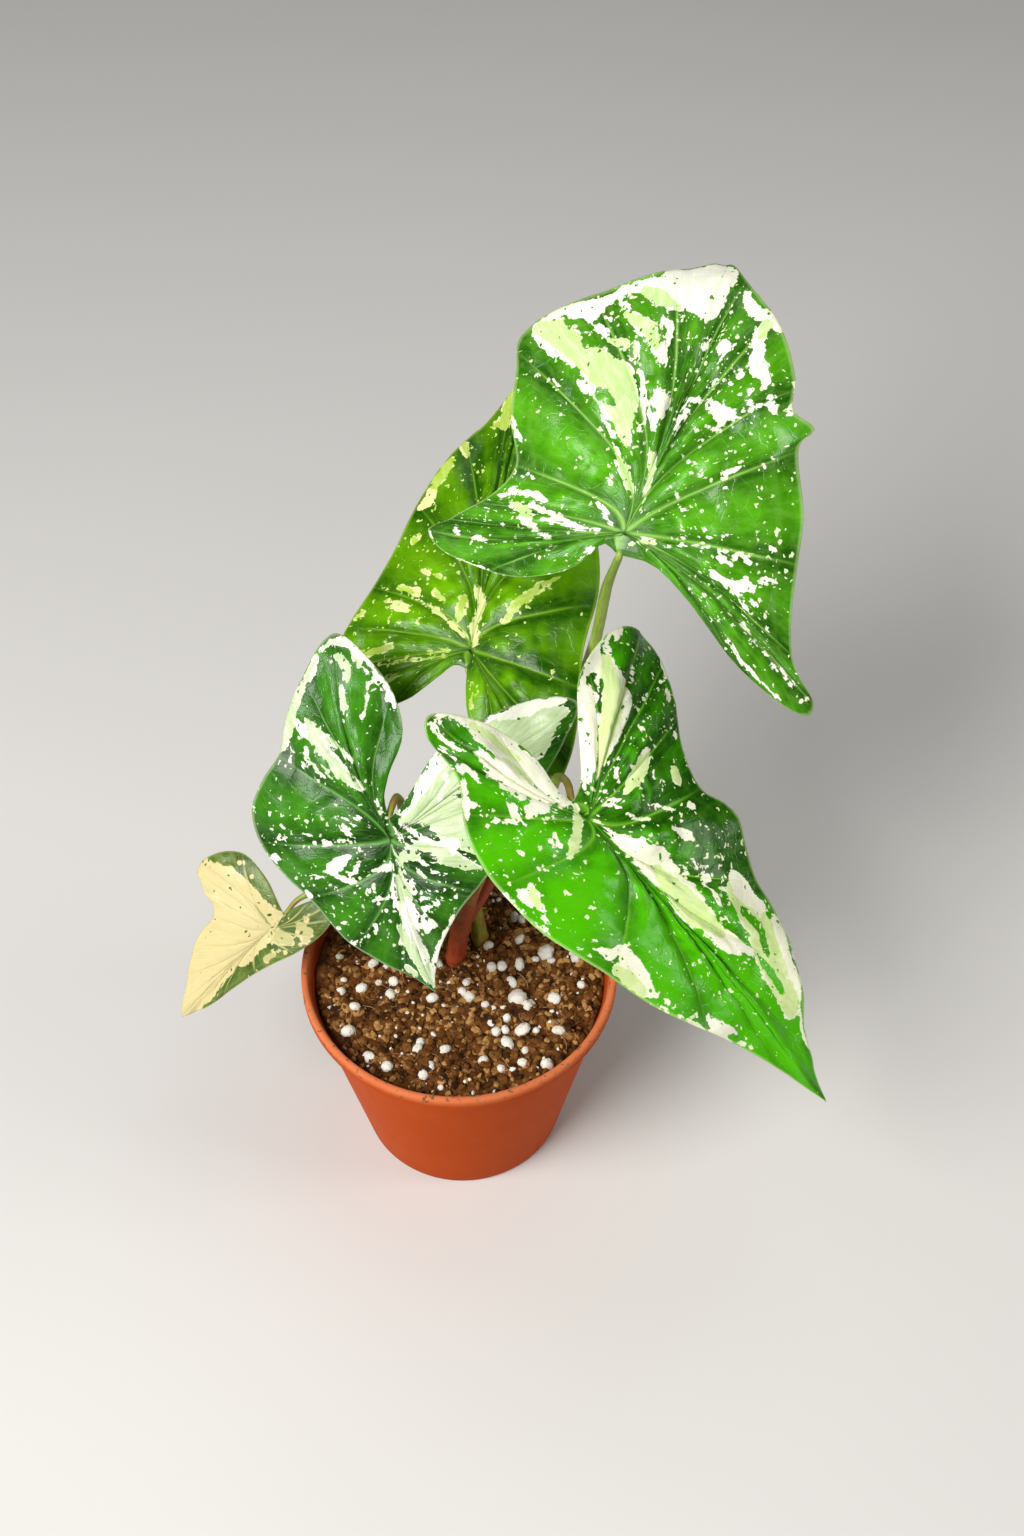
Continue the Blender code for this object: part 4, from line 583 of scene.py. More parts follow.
          (-10.8, -3.9, 2), (-12.6, -0.5, 1.4)), ("p", (-6.7, 16.5, 1.3), (-7.8, 12.9, 1.1)),
          ("g", (-5.6, 6, 0.5)), ("g", (-7.4, 1.1, 0.7), (-5.9, -1.5, 0.5)), ("g", (-10.5, 6.3, 0.6),
          (-13.1, 3.3, 0.6)), ("o", (25.7, -1, 0.9), (22.5, -2.5, 0.7), (18.3, -1.8, 0.7)),
        ]),
}


# Flat leaf coordinates to the world: the spine droops, the lobes bend and the halves fold and arch,
# each as an angle that grows along the blade and is summed in half-millimetre steps.
def bend(leaf, x, y, lift):
    heading, pitch, roll = np.radians(leaf["aim"])
    level = math.cos(pitch)
    ahead = np.array([math.cos(heading) * level, math.sin(heading) * level, math.sin(pitch)])
    side = np.array([math.sin(heading), -math.cos(heading), 0.0])
    side = math.cos(roll) * side - math.sin(roll) * np.cross(side, ahead)
    above = np.cross(side, ahead)
    droop, reach, power = leaf["droop"]
    lobeBend, lobeReach = leaf["lobe"]
    arch, archReach = leaf["arch"]
    along = np.linspace(0, 180, 361)

    def summed(angle):
        middle = 0.5 * (angle[1:] + angle[:-1])
        return [np.concatenate([[0], np.cumsum(wave(middle) * along[1])]) for wave in (np.cos, np.sin)]

    front = -np.radians(droop * np.minimum((along / reach) ** power, 1.35))
    back = np.radians(lobeBend * along / lobeReach)
    frontAhead, frontUp = summed(front)
    backAhead, backUp = summed(back)
    halfOut, halfUp = summed(np.radians(leaf["fold"] - arch * along / archReach))

    def either(ofFront, ofBack, sign=1):
        return np.where(y >= 0, np.interp(y, along, ofFront), sign * np.interp(-y, along, ofBack))

    angle = either(front, back)
    normal = -np.sin(angle)[..., None] * ahead + np.cos(angle)[..., None] * above
    across = np.sign(x) * np.interp(np.abs(x), along, halfOut)
    up = np.interp(np.abs(x), along, halfUp) + lift
    return (np.array(leaf["hub"], float) + either(frontAhead, backAhead, -1)[..., None] * ahead
            + either(frontUp, backUp, -1)[..., None] * above
            + across[..., None] * side + up[..., None] * normal)


# The margin, point by point of each vein sector, and how far each column is pulled to a rib.
def marginColumns(leaf):
    closed = np.array(leaf["outline"] + [(0, 0)], float)
    lobeL, waistL, tip, waistR, lobeR = leaf["tips"]
    end = len(closed) - 1
    fine = 40                                                         # points on each stretch of the outline
    left = curveThrough(closed[:tip + 1], fine * tip + 1)
    right = curveThrough(closed[tip:], fine * (end - tip) + 1)
    dense = np.concatenate([left, right[1:]])
    lobe, outer, blade = leafShape["veins"]
    sectors = [lobe, outer, blade, blade, outer, lobe]
    corners = [0, lobeL, waistL, tip, waistR, lobeR, end]
    knots = np.concatenate([[0], np.cumsum(sectors)])
    power = leafShape["crowding"]
    margin, sector = [], []
    for k, n in enumerate(sectors):
        line = dense[fine * corners[k]:fine * corners[k + 1] + 1]
        length = runAlong(line)
        f = ((np.arange(n)[:, None] + np.array(veinOffsets)[None, :]) / n).ravel()
        at = length[-1] * (f**power if k % 2 else 1 - (1 - f) ** power)
        margin.append(np.stack([np.interp(at, length, line[:, k]) for k in range(2)], axis=1))
        sector.append(knots[k] + f * n)
    margin, sector = np.concatenate(margin), np.concatenate(sector)
    ribL = np.interp(sector, [0, knots[1], knots[2], knots[2] + 1], [0.1, 1, 0.12, 0])
    ribR = np.interp(sector, [knots[4] - 1, knots[4], knots[5], knots[6]], [0, 0.12, 1, 0.1])
    mid = np.interp(sector, knots[1:6], [0, 0.2, 1, 0.2, 0])
    return margin, sector, (ribL, mid, ribR)


# The flat blade as a grid of rows t by columns s: the weighted quadratic curve from the pole C
# by a point pulled toward the ribs to the margin, (1-t)^2 C + 2t(1-t) w K + t^2 M over its weights.
def flatBlade(leaf):
    margin, sector, pulls = marginColumns(leaf)
    pole = np.array(leafShape["pole"])
    control = pole + sum(p[:, None] * (np.array(r, float) - pole) for p, r in zip(pulls, leaf["ribs"]))
    u = np.linspace(0, 1, leaf.get("rows", leafShape["rows"]) + 1)[1:]
    t = (u * (1.12 - 0.12 * u))[:, None, None]
    w = leafShape["pull"]
    flat = (1 - t) ** 2 * pole + 2 * t * (1 - t) * w * control + t**2 * margin
    return flat / ((1 - t) ** 2 + 2 * t * (1 - t) * w + t**2), t[..., 0], sector, pole


# Signed distance in millimetres to a row of round dabs joined by tapering bands, inside above zero.
def insideStroke(x, y, dabs, joined):
    dabs = np.array(dabs, float)
    if not joined:
        return np.max([max(0.85 * r, 0.4) + 0.03 - np.hypot(x - px, y - py) for px, py, r in dabs], axis=0)
    best = dabs[0, 2] - np.hypot(x - dabs[0, 0], y - dabs[0, 1])
    for a, b in zip(dabs[:-1], dabs[1:]):
        ab = b[:2] - a[:2]
        f = np.clip(((x - a[0]) * ab[0] + (y - a[1]) * ab[1]) / max(ab @ ab, 1e-6), 0, 1)
        away = np.hypot(x - a[0] - f * ab[0], y - a[1] - f * ab[1])
        best = np.maximum(best, a[2] + f * (b[2] - a[2]) - away)
    return best


# Two distances from the markings laid in order: how far inside any marking, and white against pale.
def markDistances(leaf, x, y):
    marked = np.full(x.shape, -25.0)
    whiter = np.full(x.shape, 8.0)
    for kind, *dabs in leaf["marks"]:
        inside = insideStroke(x, y, dabs, kind != "o")
        marked = np.minimum(marked, -inside) if kind == "g" else np.maximum(marked, inside)
        if kind in "wo":
            whiter = np.maximum(whiter, inside)
        if kind == "p":
            whiter = np.minimum(whiter, -inside)
    return marked, whiter


# A sum of round bumps: each an amount times e to the minus square of distance over reach.
def dabSum(dabs, x, y):
    total = np.zeros(x.shape)
    for px, py, reach, amount in dabs:
        total += amount * np.exp(-((x - px) ** 2 + (y - py) ** 2) / reach**2)
    return total


# One blade: the flat grid lifted by quilting between veins, ripples and pleats across it, and a wavy
# margin, then bent, then given two skins along its normals, with grooves above the veins and ridges
# below. Pairs are (height, wavelength), but frill is (height, waves round the margin), veinWidth the least
# half width and what a rib has more, marginVein its place and spread, groove and ridge (least, more, at the
# margin), and hub (reach, groove, ridge).
relief = dict(stillHub=18, openGap=14, ripple=(0.24, 9.0), pleat=0.16, roll=(0.45, 19),
              smallRoll=(0.10, 7), frill=(0.55, 17), turnedDown=0.35, veinWidth=(0.36, 1.35),
              sideVeinStart=4.0, marginVein=(0.945, 0.45), swellsFrom=14,
              groove=(0.10, 0.30, 0.07), ridge=(0.12, 1.05, 0.08), hub=(3.5, 0.2, 0.7), lip=0.22)


def makeBlade(name, leaf):
    flat, t, sector, pole = flatBlade(leaf)
    rows, columns = flat.shape[:2]
    x, y = flat[..., 0], flat[..., 1]
    s = np.broadcast_to(sector, x.shape)
    nearest, before = np.round(sector).astype(int), np.floor(sector).astype(int)

    def veinLine(number):
        return flat[:, number % veinCount * len(veinOffsets)]

    fromVein = span(flat - veinLine(nearest))
    fromMain = np.min([span(flat - veinLine(np.array([k]))) for k in mainRibs], axis=0)
    gap = span(veinLine(before + 1) - veinLine(before))
    fromPole = np.concatenate([np.broadcast_to(pole, flat[:1].shape), flat])
    run = np.cumsum(span(np.diff(fromPole, axis=0)), axis=0)          # millimetres along each column
    calm = 1 - np.exp(-(x**2 + y**2) / relief["stillHub"] ** 2)       # the blade lies still at the hub
    room = np.clip(gap / relief["openGap"], 0, 1) ** 1.7              # calm where two veins run close
    pillow = np.abs(np.sin(math.pi * s)) ** 1.05
    middle = np.sin(math.pi * t)
    amplitude, waves, phase = leaf["wave"]
    turn = s / veinCount * 2 * math.pi
    seed = leaf["seed"]
    wobble = 0.35 * rolling(x, y, 24, seed + 40)
    (ripple, rippleLong), pleat = relief["ripple"], relief["pleat"]
    (roll, rollLong), (smallRoll, smallLong) = relief["roll"], relief["smallRoll"]
    crossing = run / rippleLong + 0.8 * np.abs(s % 1 - 0.5) + 0.37 * np.floor(s) + wobble
    crossing = np.sin(2 * math.pi * crossing)
    pleats = np.cos(2 * math.pi * (3 * s + wobble)) * np.clip(run / 25, 0, 1)
    quilt = leaf["quilt"] * (0.8 + 0.35 * rolling(x, y, 40, seed + 60))
    frill, frills = relief["frill"]
    lift = (calm * room * pillow * (quilt * np.sin(math.pi * np.minimum(t * 1.04, 1) ** 0.85)
                                    + (ripple * crossing + pleat * pleats) * middle)
            + calm * (amplitude * t**3 * np.sin(waves * 2 * turn + phase) * (0.7 + 0.3 * np.sin(turn))
                      + roll * rolling(x, y, rollLong, seed) + smallRoll * rolling(x, y, smallLong, seed + 20)
                      + frill * t**8 * np.sin(frills * turn + 2 * phase) * (0.6 + 0.4 * np.sin(3 * turn)))
            - relief["turnedDown"] * t**24 + dabSum(leaf["puckers"], x, y))
    mid = bend(leaf, x, y, lift)
    poleMid = bend(leaf, pole[:1], pole[1:], np.zeros(1))[0]

    rank = np.where(np.isin(nearest % veinCount, mainRibs), 1.0, 0.5)
    thinnest, widening = relief["veinWidth"]
    width = thinnest + widening * rank * (1 - t) ** 0.95              # half width of each vein
    shown = np.where(rank == 1, 1, np.clip((fromMain - 1.0) / relief["sideVeinStart"], 0, 1))
    vein = shown * np.exp(-(fromVein / width) ** 2) * np.clip((1.02 - t) * 6, 0, 1)
    place, spread = relief["marginVein"]
    collecting = np.exp(-(((t - place) * run[-1]) / spread) ** 2)     # the vein that follows the margin
    hubReach, hubGroove, hubRidge = relief["hub"]
    hub = np.exp(-(run / hubReach) ** 2)
    least, more, edge = relief["groove"]
    groove = (least + more * rank * (1 - t) ** 0.6) * vein + edge * collecting
    groove = groove * (1 - hub) + hubGroove * hub
    least, more, edge = relief["ridge"]
    ridge = (least + more * rank * (1 - t) ** 0.9) * shown * np.exp(-(fromVein / (0.9 * width)) ** 2)
    ridge = ridge + edge * collecting
    ridge = ridge * (1 - hub) + hubRidge * hub
    half = leafShape["halfThick"] * (1 - 0.45 * t**6)

    quads = ringQuads(rows, columns) + 1
    ring = np.arange(columns)
    nextRing = (ring + 1) % columns
    fan = np.stack([np.zeros(columns, int), 1 + nextRing, 1 + ring], axis=1)
    skin = np.concatenate([poleMid[None, :], mid.reshape(-1, 3)])
    diagonal = np.cross(skin[quads[:, 2]] - skin[quads[:, 0]], skin[quads[:, 3]] - skin[quads[:, 1]])
    normals = [np.bincount(quads.ravel(), np.repeat(diagonal[:, k], 4), len(skin)) for k in range(3)]
    normals = np.stack(normals, axis=1)
    normals[0] = normals[1:1 + columns].sum(axis=0)
    normals = unit(normals)

    def whole(values, first):
        return np.concatenate([[first], np.broadcast_to(values, x.shape).ravel()])

    upper = skin + normals * whole(half - groove, leafShape["halfThick"] - hubGroove)[:, None]
    lower = skin - normals * whole(half + ridge, leafShape["halfThick"] + hubRidge)[:, None]
    rim = mid[-1] + relief["lip"] * unit(mid[-1] - mid[-2])
    total = len(skin)
    last, rimStart = total - columns, 2 * total
    top, nextTop, edge, nextEdge = last + ring, last + nextRing, rimStart + ring, rimStart + nextRing
    edgeTop = np.stack([top, nextTop, nextEdge, edge], axis=1)
    edgeUnder = np.stack([edge, nextEdge, total + nextTop, total + top], axis=1)
    allQuads = np.concatenate([quads, quads[:, ::-1] + total, edgeTop, edgeUnder])
    allTris = np.concatenate([fan, fan[:, ::-1] + total])
    piece = newPiece(name, np.concatenate([upper, lower, rim]), allQuads, allTris)

    # values for the material: markings, brighter and darker green with painted light and shade, specks,
    # veins, painted light and shade on the swellings, and which side it is
    marked, whiter = markDistances(leaf, x, y)
    # painted light and shade: the swellings between veins, their pleats and ripples are painted brighter, the
    # ground by the veins darker
    swellShading = room * pillow * np.clip(run / relief["swellsFrom"], 0, 1)
    swellShading = swellShading * (1 + middle * (0.25 * pleats + 0.30 * crossing)) - 0.12 * t**6
    values = dict(marked=marked, whiter=whiter, vein=np.maximum(collecting * 0.12, vein), pillow=swellShading,
                  toneAndShading=dabSum(leaf["tonesAndShading"], x, y), specks=dabSum(leaf["specks"], x, y), room=room,
                  outward=np.broadcast_to(t, x.shape))
    for label, value in values.items():
        field = whole(value, value[0].mean())
        addValues(piece, label, np.concatenate([field, field, value[-1]]))
    addValues(piece, "under", np.concatenate([np.zeros(total), np.ones(total), np.full(columns, 0.5)]))

    # two maps in metres: flat place, and place along and across the veins; the last column closes the round
    def cornerValues(values, first):
        field = whole(values, first)
        return np.concatenate([field, field, field[last:]])

    def closed(across):
        return np.where((across < 0.5) & (across.max(axis=1) > veinCount - 1)[:, None], veinCount, across)

    across = cornerValues(s, 0.0)
    quadAcross, triAcross = closed(across[allQuads]), closed(across[allTris])
    atPole = allTris % total == 0
    triAcross = np.where(atPole, np.where(atPole, 0, triAcross).sum(axis=1, keepdims=True) / 2, triAcross)
    corners = np.concatenate([allQuads.ravel(), allTris.ravel()])
    acrossHere = np.concatenate([quadAcross.ravel(), triAcross.ravel()])
    flatX, flatY, along = cornerValues(x, pole[0]), cornerValues(y, pole[1]), cornerValues(run, 0.0)
    addMap(piece, "flat", np.stack([flatX[corners], flatY[corners]], axis=1) * mm)
    addMap(piece, "run", np.stack([acrossHere * 12, along[corners]], axis=1) * mm)
    return piece


# Shader parts: colours are tuples of three, places are in metres and scales per metre

# Links a socket, or sets a plain value, at each named input of a node.
def feed(tree, made, feeds):
    for key, value in feeds.items():
        if isinstance(value, bpy.types.NodeSocket):
            tree.links.new(value, made.inputs[key])
        else:
            made.inputs[key].default_value = value


# A new node with its settings and inputs.
def put(tree, kind, feeds=None, **settings):
    made = tree.nodes.new(kind)
    for key, value in settings.items():
        setattr(made, key, value)
    feed(tree, made, feeds or {})
    return made


# A Math node's result.
def calc(tree, operation, *values, clamp=False):
    feeds = dict(enumerate(values))
    return put(tree, "ShaderNodeMath", feeds, operation=operation, use_clamp=clamp).outputs[0]


# value times by
def times(tree, value, by, clamp=False):
    return calc(tree, "MULTIPLY", value, by, clamp=clamp)


# start plus share times value
def plus(tree, start, value, share):
    return calc(tree, "ADD", start, times(tree, value, share))


# A smooth step from start to end while the value goes from low to high.
def between(tree, value, low, high, start=0.0, end=1.0):
    feeds = {"Value": value, "From Min": low, "From Max": high, "To Min": start, "To Max": end}
    return put(tree, "ShaderNodeMapRange", feeds, interpolation_type="SMOOTHSTEP").outputs[0]


# The first colour where the share is 0, the second where it is 1.
def mixed(tree, share, *pair):
    one, other = ((*c, 1.0) if isinstance(c, tuple) else c for c in pair)
    feeds = {0: share, 6: one, 7: other}
    return put(tree, "ShaderNodeMix", feeds, data_type="RGBA", clamp_factor=True).outputs[2]


# A cloudy pattern from 0 to 1.
def noise(tree, place, scale, detail=3.0, roughness=0.55):
    feeds = {"Vector": place, "Scale": scale, "Detail": detail, "Roughness": roughness}
    return put(tree, "ShaderNodeTexNoise", feeds).outputs["Fac"]


# A value that the piece's points carry.
def attribute(tree, name):
    return put(tree, "ShaderNodeAttribute", attribute_name=name).outputs["Fac"]


# A place moved by a vector.
def shifted(tree, place, by):
    return put(tree, "ShaderNodeVectorMath", {0: place, 1: by}, operation="ADD").outputs[0]


# A place multiplied by a vector, part by part.
def stretched(tree, place, by):
    return put(tree, "ShaderNodeVectorMath", {0: place, 1: by}, operation="MULTIPLY").outputs[0]


# A new material, its tree, and where its patterns hang: a map of the piece, or else object space.
def newFinish(name, uvMap=None):
    made = bpy.data.materials.new(name)
    made.use_nodes = True
    tree = made.node_tree
    if uvMap:
        return made, tree, put(tree, "ShaderNodeUVMap", uv_map=uvMap).outputs[0]
    return made, tree, put(tree, "ShaderNodeTexCoord").outputs["Object"]


# Fills the Principled shader: bump is height, strength and metres, soft subsurface weight, radius and scale.
def dress(tree, base, rough, bump=None, soft=(), shine=0.5):
    feeds = {"Base Color": base, "Roughness": rough, "Specular IOR Level": shine}
    if bump:
        bump = dict(zip(("Height", "Strength", "Distance"), bump))
        feeds["Normal"] = put(tree, "ShaderNodeBump", bump).outputs[0]
    feeds.update(zip(("Subsurface Weight", "Subsurface Radius", "Subsurface Scale"), soft))
    feed(tree, tree.nodes["Principled BSDF"], feeds)


# The markings' node group. Noises are (scale, detail, roughness); a shake is how many millimetres the edge
# moves with a noise; spots are (cells a metre, stretch along the blade, shift).
pattern = dict(coarse=(330, 2, 0.5), coarseShake=1.9, streaky=(560, 2, 0.55), streakyShake=2.6,
               fine=(1150, 2, 0.5), fineShake=0.7, whiterShake=0.8, longRun=(1, 0.33, 1),
               warpScale=520.0, warp=(0.0020, 0.0020, 0), edgeFade=-0.55, leastSown=0.07, edgeSown=0.5,
               clumps=(150, 3, 0.6), clumped=(0.36, 0.62, 0.25, 1.5), holed=0.7,
               flatSpots=(450.0, 0.85, 0.0), runSpots=(860.0, 0.6, 0.31), holes=(520.0, 0.8, 0.17),
               spotSize=(0.07, 0.27), soft=0.03, markSoft=0.13, whiteSoft=0.3, net=(300.0, 0.7, 0.11),
               streaks=(900, 3, 0.6), streakRun=(1, 0.12, 1))


# Ragged edges where noise moves the distance to a marking, specks of two sizes, streaks and a fine net.
def leafMarkings():
    tree = bpy.data.node_groups.new("leafMarkings", "ShaderNodeTree")
    for label in ("Ragged", "Speckle", "Shift"):
        tree.interface.new_socket(name=label, in_out="INPUT", socket_type="NodeSocketFloat")
    for label in ("Marked", "White", "Specks", "Streaks", "Net"):
        tree.interface.new_socket(name=label, in_out="OUTPUT", socket_type="NodeSocketFloat")
    given = tree.nodes.new("NodeGroupInput").outputs
    by = put(tree, "ShaderNodeCombineXYZ", {k: given["Shift"] for k in range(3)}).outputs[0]
    maps = (put(tree, "ShaderNodeUVMap", uv_map=name).outputs[0] for name in ("flat", "run"))
    flatHere, runHere = (shifted(tree, place, by) for place in maps)

    def centred(place, kind):
        return calc(tree, "SUBTRACT", noise(tree, place, *pattern[kind]), 0.5)

    streaky = centred(stretched(tree, runHere, pattern["longRun"]), "streaky")
    shake = times(tree, centred(flatHere, "coarse"), pattern["coarseShake"])
    shake = plus(tree, shake, streaky, pattern["streakyShake"])
    shake = plus(tree, shake, centred(flatHere, "fine"), pattern["fineShake"])
    shake = times(tree, shake, given["Ragged"])
    inMark = attribute(tree, "marked")
    markedHere = calc(tree, "ADD", inMark, shake)
    whiterHere = plus(tree, attribute(tree, "whiter"), shake, pattern["whiterShake"])
    warp = put(tree, "ShaderNodeTexNoise", {"Vector": flatHere, "Scale": pattern["warpScale"], "Detail": 2.0})
    warp = stretched(tree, warp.outputs["Color"], pattern["warp"])
    nearEdge = calc(tree, "EXPONENT", times(tree, calc(tree, "ABSOLUTE", inMark), pattern["edgeFade"]))
    sown = calc(tree, "ADD", pattern["leastSown"], attribute(tree, "specks"))
    sown = plus(tree, sown, nearEdge, pattern["edgeSown"])
    sown = times(tree, sown, between(tree, noise(tree, flatHere, *pattern["clumps"]), *pattern["clumped"]))
    density = times(tree, given["Speckle"], sown, clamp=True)
    hole = times(tree, calc(tree, "POWER", nearEdge, 0.5), pattern["holed"])
    hole = times(tree, given["Speckle"], hole, clamp=True)

    # long spots in cells: a cell holds one where its own number is under the share
    def spots(place, kind, share):
        cell, along, shift = pattern[kind]
        place = shifted(tree, stretched(tree, place, (1, along, 1)), warp)
        place = shifted(tree, place, (shift, shift, 0))
        cells = put(tree, "ShaderNodeTexVoronoi", {"Vector": place, "Scale": cell}, voronoi_dimensions="2D")
        parts = put(tree, "ShaderNodeSeparateColor", {0: cells.outputs["Color"]}).outputs
        least, more = pattern["spotSize"]
        size = plus(tree, least, calc(tree, "POWER", parts[1], 2.0), more)
        inside = calc(tree, "SUBTRACT", size, cells.outputs["Distance"])
        return times(tree, between(tree, inside, -pattern["soft"], pattern["soft"]),
                     calc(tree, "LESS_THAN", parts[0], share))

    fineShare = times(tree, density, attribute(tree, "room"))
    cell, along, edge = pattern["net"]
    netPlace = shifted(tree, stretched(tree, runHere, (1, along, 1)), warp)
    net = put(tree, "ShaderNodeTexVoronoi", {"Vector": netPlace, "Scale": cell}, feature="DISTANCE_TO_EDGE",
              voronoi_dimensions="2D").outputs["Distance"]
    solid = between(tree, markedHere, -pattern["markSoft"], pattern["markSoft"])
    small, smaller = spots(flatHere, "flatSpots", density), spots(runHere, "runSpots", fineShare)
    feed(tree, tree.nodes.new("NodeGroupOutput"), {
        "Marked": calc(tree, "SUBTRACT", solid, spots(flatHere, "holes", hole), clamp=True),
        "White": between(tree, whiterHere, -pattern["whiteSoft"], pattern["whiteSoft"]),
        "Specks": calc(tree, "MAXIMUM", small, smaller),
        "Streaks": noise(tree, stretched(tree, runHere, pattern["streakRun"]), *pattern["streaks"]),
        "Net": between(tree, net, 0.0, edge)})
    return tree


markings = leafMarkings()
leafLook = dict(clouds=(90, 4, 0.6), cloudMiddle=0.58, cloudShare=1.1, toneAndShadingShare=0.5, swellShadingShare=0.75,
                streaks=(0.38, 0.7), streaked=0.15, netted=0.05, veined=0.85, veinedMark=0.4, speckWhite=0.45,
                margin=(0.991, 0.999, 0.0, 0.4), underside=(0.24, 0.38, 0.16), undersideShare=0.45,
                rough=0.15, underRough=0.25, roughNoise=0.14, bump=(0.6, 0.00028), shine=0.22)


# The leaf's finish: green with painted light and shade, pale and white markings, pale veins, paler underside,
# waxy gloss.
def leafFinish(name, leaf):
    made, tree, flat = newFinish(name, "flat")
    feeds = {"Ragged": leaf["ragged"], "Speckle": leaf["speckle"], "Shift": leaf["seed"] * 0.37}
    given = put(tree, "ShaderNodeGroup", feeds, node_tree=markings).outputs
    look, veins, under = leafLook, attribute(tree, "vein"), attribute(tree, "under")
    cloudy = calc(tree, "SUBTRACT", noise(tree, flat, *look["clouds"]), look["cloudMiddle"])
    # green brighter or darker: the leaf's own patches and cloudy noise, with painted light and painted shade
    # on its halves
    toneAndShading = plus(tree, times(tree, attribute(tree, "toneAndShading"), look["toneAndShadingShare"]), cloudy, look["cloudShare"])
    # painted shade: brighter on the swellings between the veins, darker toward the veins, after the relief
    toneAndShading = plus(tree, toneAndShading, attribute(tree, "pillow"), look["swellShadingShare"])
    streaks = between(tree, given["Streaks"], *look["streaks"])
    green = mixed(tree, toneAndShading, leaf["deep"], leaf["bright"])
    green = mixed(tree, times(tree, streaks, look["streaked"]), green, leaf["vein"])
    netting = calc(tree, "SUBTRACT", 1.0, given["Net"])
    green = mixed(tree, times(tree, netting, look["netted"]), green, leaf["vein"])
    green = mixed(tree, times(tree, veins, look["veined"]), green, leaf["vein"])
    green = mixed(tree, given["Specks"], green, mixed(tree, look["speckWhite"], leaf["pale"], leaf["white"]))
    pale = mixed(tree, times(tree, streaks, 0.35), leaf["pale"], leaf["white"])
    white = mixed(tree, times(tree, streaks, 0.22), leaf["white"], leaf["pale"])
    mark = mixed(tree, given["White"], pale, white)
    mark = mixed(tree, times(tree, veins, look["veinedMark"]), mark, leaf["pale"])
    base = mixed(tree, given["Marked"], green, mark)
    base = mixed(tree, between(tree, attribute(tree, "outward"), *look["margin"]), base, leaf["pale"])
    base = mixed(tree, under, base, mixed(tree, look["undersideShare"], base, look["underside"]))
    rough = plus(tree, look["rough"], under, look["underRough"])
    rough = plus(tree, rough, noise(tree, flat, 700), look["roughNoise"])
    height = plus(tree, times(tree, given["Streaks"], 0.8), noise(tree, flat, 2600, 2), 0.22)
    height = plus(tree, height, given["Net"], 0.25)
    dress(tree, base, rough, (height, *look["bump"]), (0.18, (0.6, 1.0, 0.2), 0.0012), look["shine"])
    return made


for name, leaf in leaves.items():
    settle(makeBlade(name, leaf), leafFinish(name + "Finish", leaf), "leaf", leaf["node"])


# Stems

# paths: (x, y, z, radius) as in the CAD part. leaf: the blade it carries on under, as its midrib.
# red: how red it is at its start and end, and blush at the blade; sheath: where the petiole's wings run.
stems = {
    "redStem": dict(node="stem_red", paths=[
        dict(leaf="rightLeaf", red=(1.0, 0.15), sheath=(0.12, 0.42), rings=(0.17, 0.25), blush=0.3, path=[
            (-2, 6, 62, 3.0), (-2, 6, 84, 3.1), (-2, 6, 92, 3.1), (1, 8, 112, 3.1), (8, 11, 136, 2.8),
            (15, 11, 152, 2.4), (25, 8, 173, 2.3), (32, 4, 190, 2.1), (35, 0, 204, 2.0), (37, -7, 213, 1.9),
            (38.5, -14, 217.5, 1.8), (39.4, -21.5, 218.8, 1.6)]),
        dict(leaf="topLeaf", red=(0.9, 0.0), sheath=(0.0, 0.36), rings=(0.03,), blush=0.0, path=[
            (1, 8.6, 108, 2.4), (10, 16.5, 121, 2.6), (22, 30, 140, 2.5), (36, 45, 165, 2.4),
            (45, 56, 192, 2.2), (49, 58.5, 208, 2.1), (50.5, 56, 222, 2.0),
            (52, 50, 245, 2.0), (54, 40, 266, 1.9), (54.4, 34, 274.7, 1.7)])]),
    "oliveStem": dict(node="stem_olive", paths=[
        dict(leaf="backLeaf", red=(0.55, 0.0), sheath=(0.15, 0.5), rings=(0.2,), blush=0.1, path=[
            (7, 16, 62, 2.4), (7, 16, 84, 2.5), (7, 16, 92, 2.5), (4, 22, 118, 2.4),
            (5, 33, 150, 2.2), (8, 46, 178, 2.0), (7, 53, 191, 1.9), (4.4, 55.5, 198.4, 1.6)])]),
    "smallStem": dict(node="stem_small", paths=[
        dict(leaf="frontLeaf", red=(0.6, 0.05), sheath=(0.15, 0.45), rings=(0.2, 0.27), blush=0.35, path=[
            (-14, 1, 62, 2.3), (-14, 1, 84, 2.4), (-14, 1, 92, 2.4), (-16, 5, 120, 2.2),
            (-18, 12, 150, 2.1), (-19, 15, 170, 2.0), (-20.5, 12, 180, 1.9), (-22.7, 4.3, 179.9, 1.6)]),
        dict(leaf="lowLeaf", red=(0.5, 0.2), sheath=(0.0, 0.4), rings=(0.04,), blush=0.2, path=[
            (-14, 1.2, 97, 2.0), (-22, 4, 113, 1.8), (-36, 8, 127, 1.6), (-48, 9, 131, 1.5),
            (-58, 6, 129, 1.4), (-63, 1.7, 125.8, 1.2)])]),
}
# Under the blade the path runs on as rows of (way along the blade, lift, radius). slim is where the petiole
# narrows; a channel is cut at the angle inner, with a wing to each side; a ring swells the tube.
stemShape = dict(sides=32, perPoint=16, lowUnder=(0.7, 0.75, 0.75), aside=(0.35, 0.9, 0.25),
                 inner=4.3, wingAt=0.62, wing=(0.55, 0.16), channel=(0.22, 0.5), sheathCut=0.15,
                 ring=(0.16, 0.008), slim=(0.80, 0.12, 0.26), ridges=(0.012, 9),
                 under=[(2.0, -1.5, 1.5), (5.0, -1.15, 1.25), (10.0, -0.85, 1.0), (17.0, -0.6, 0.7),
                        (25.0, -0.35, 0.4)])


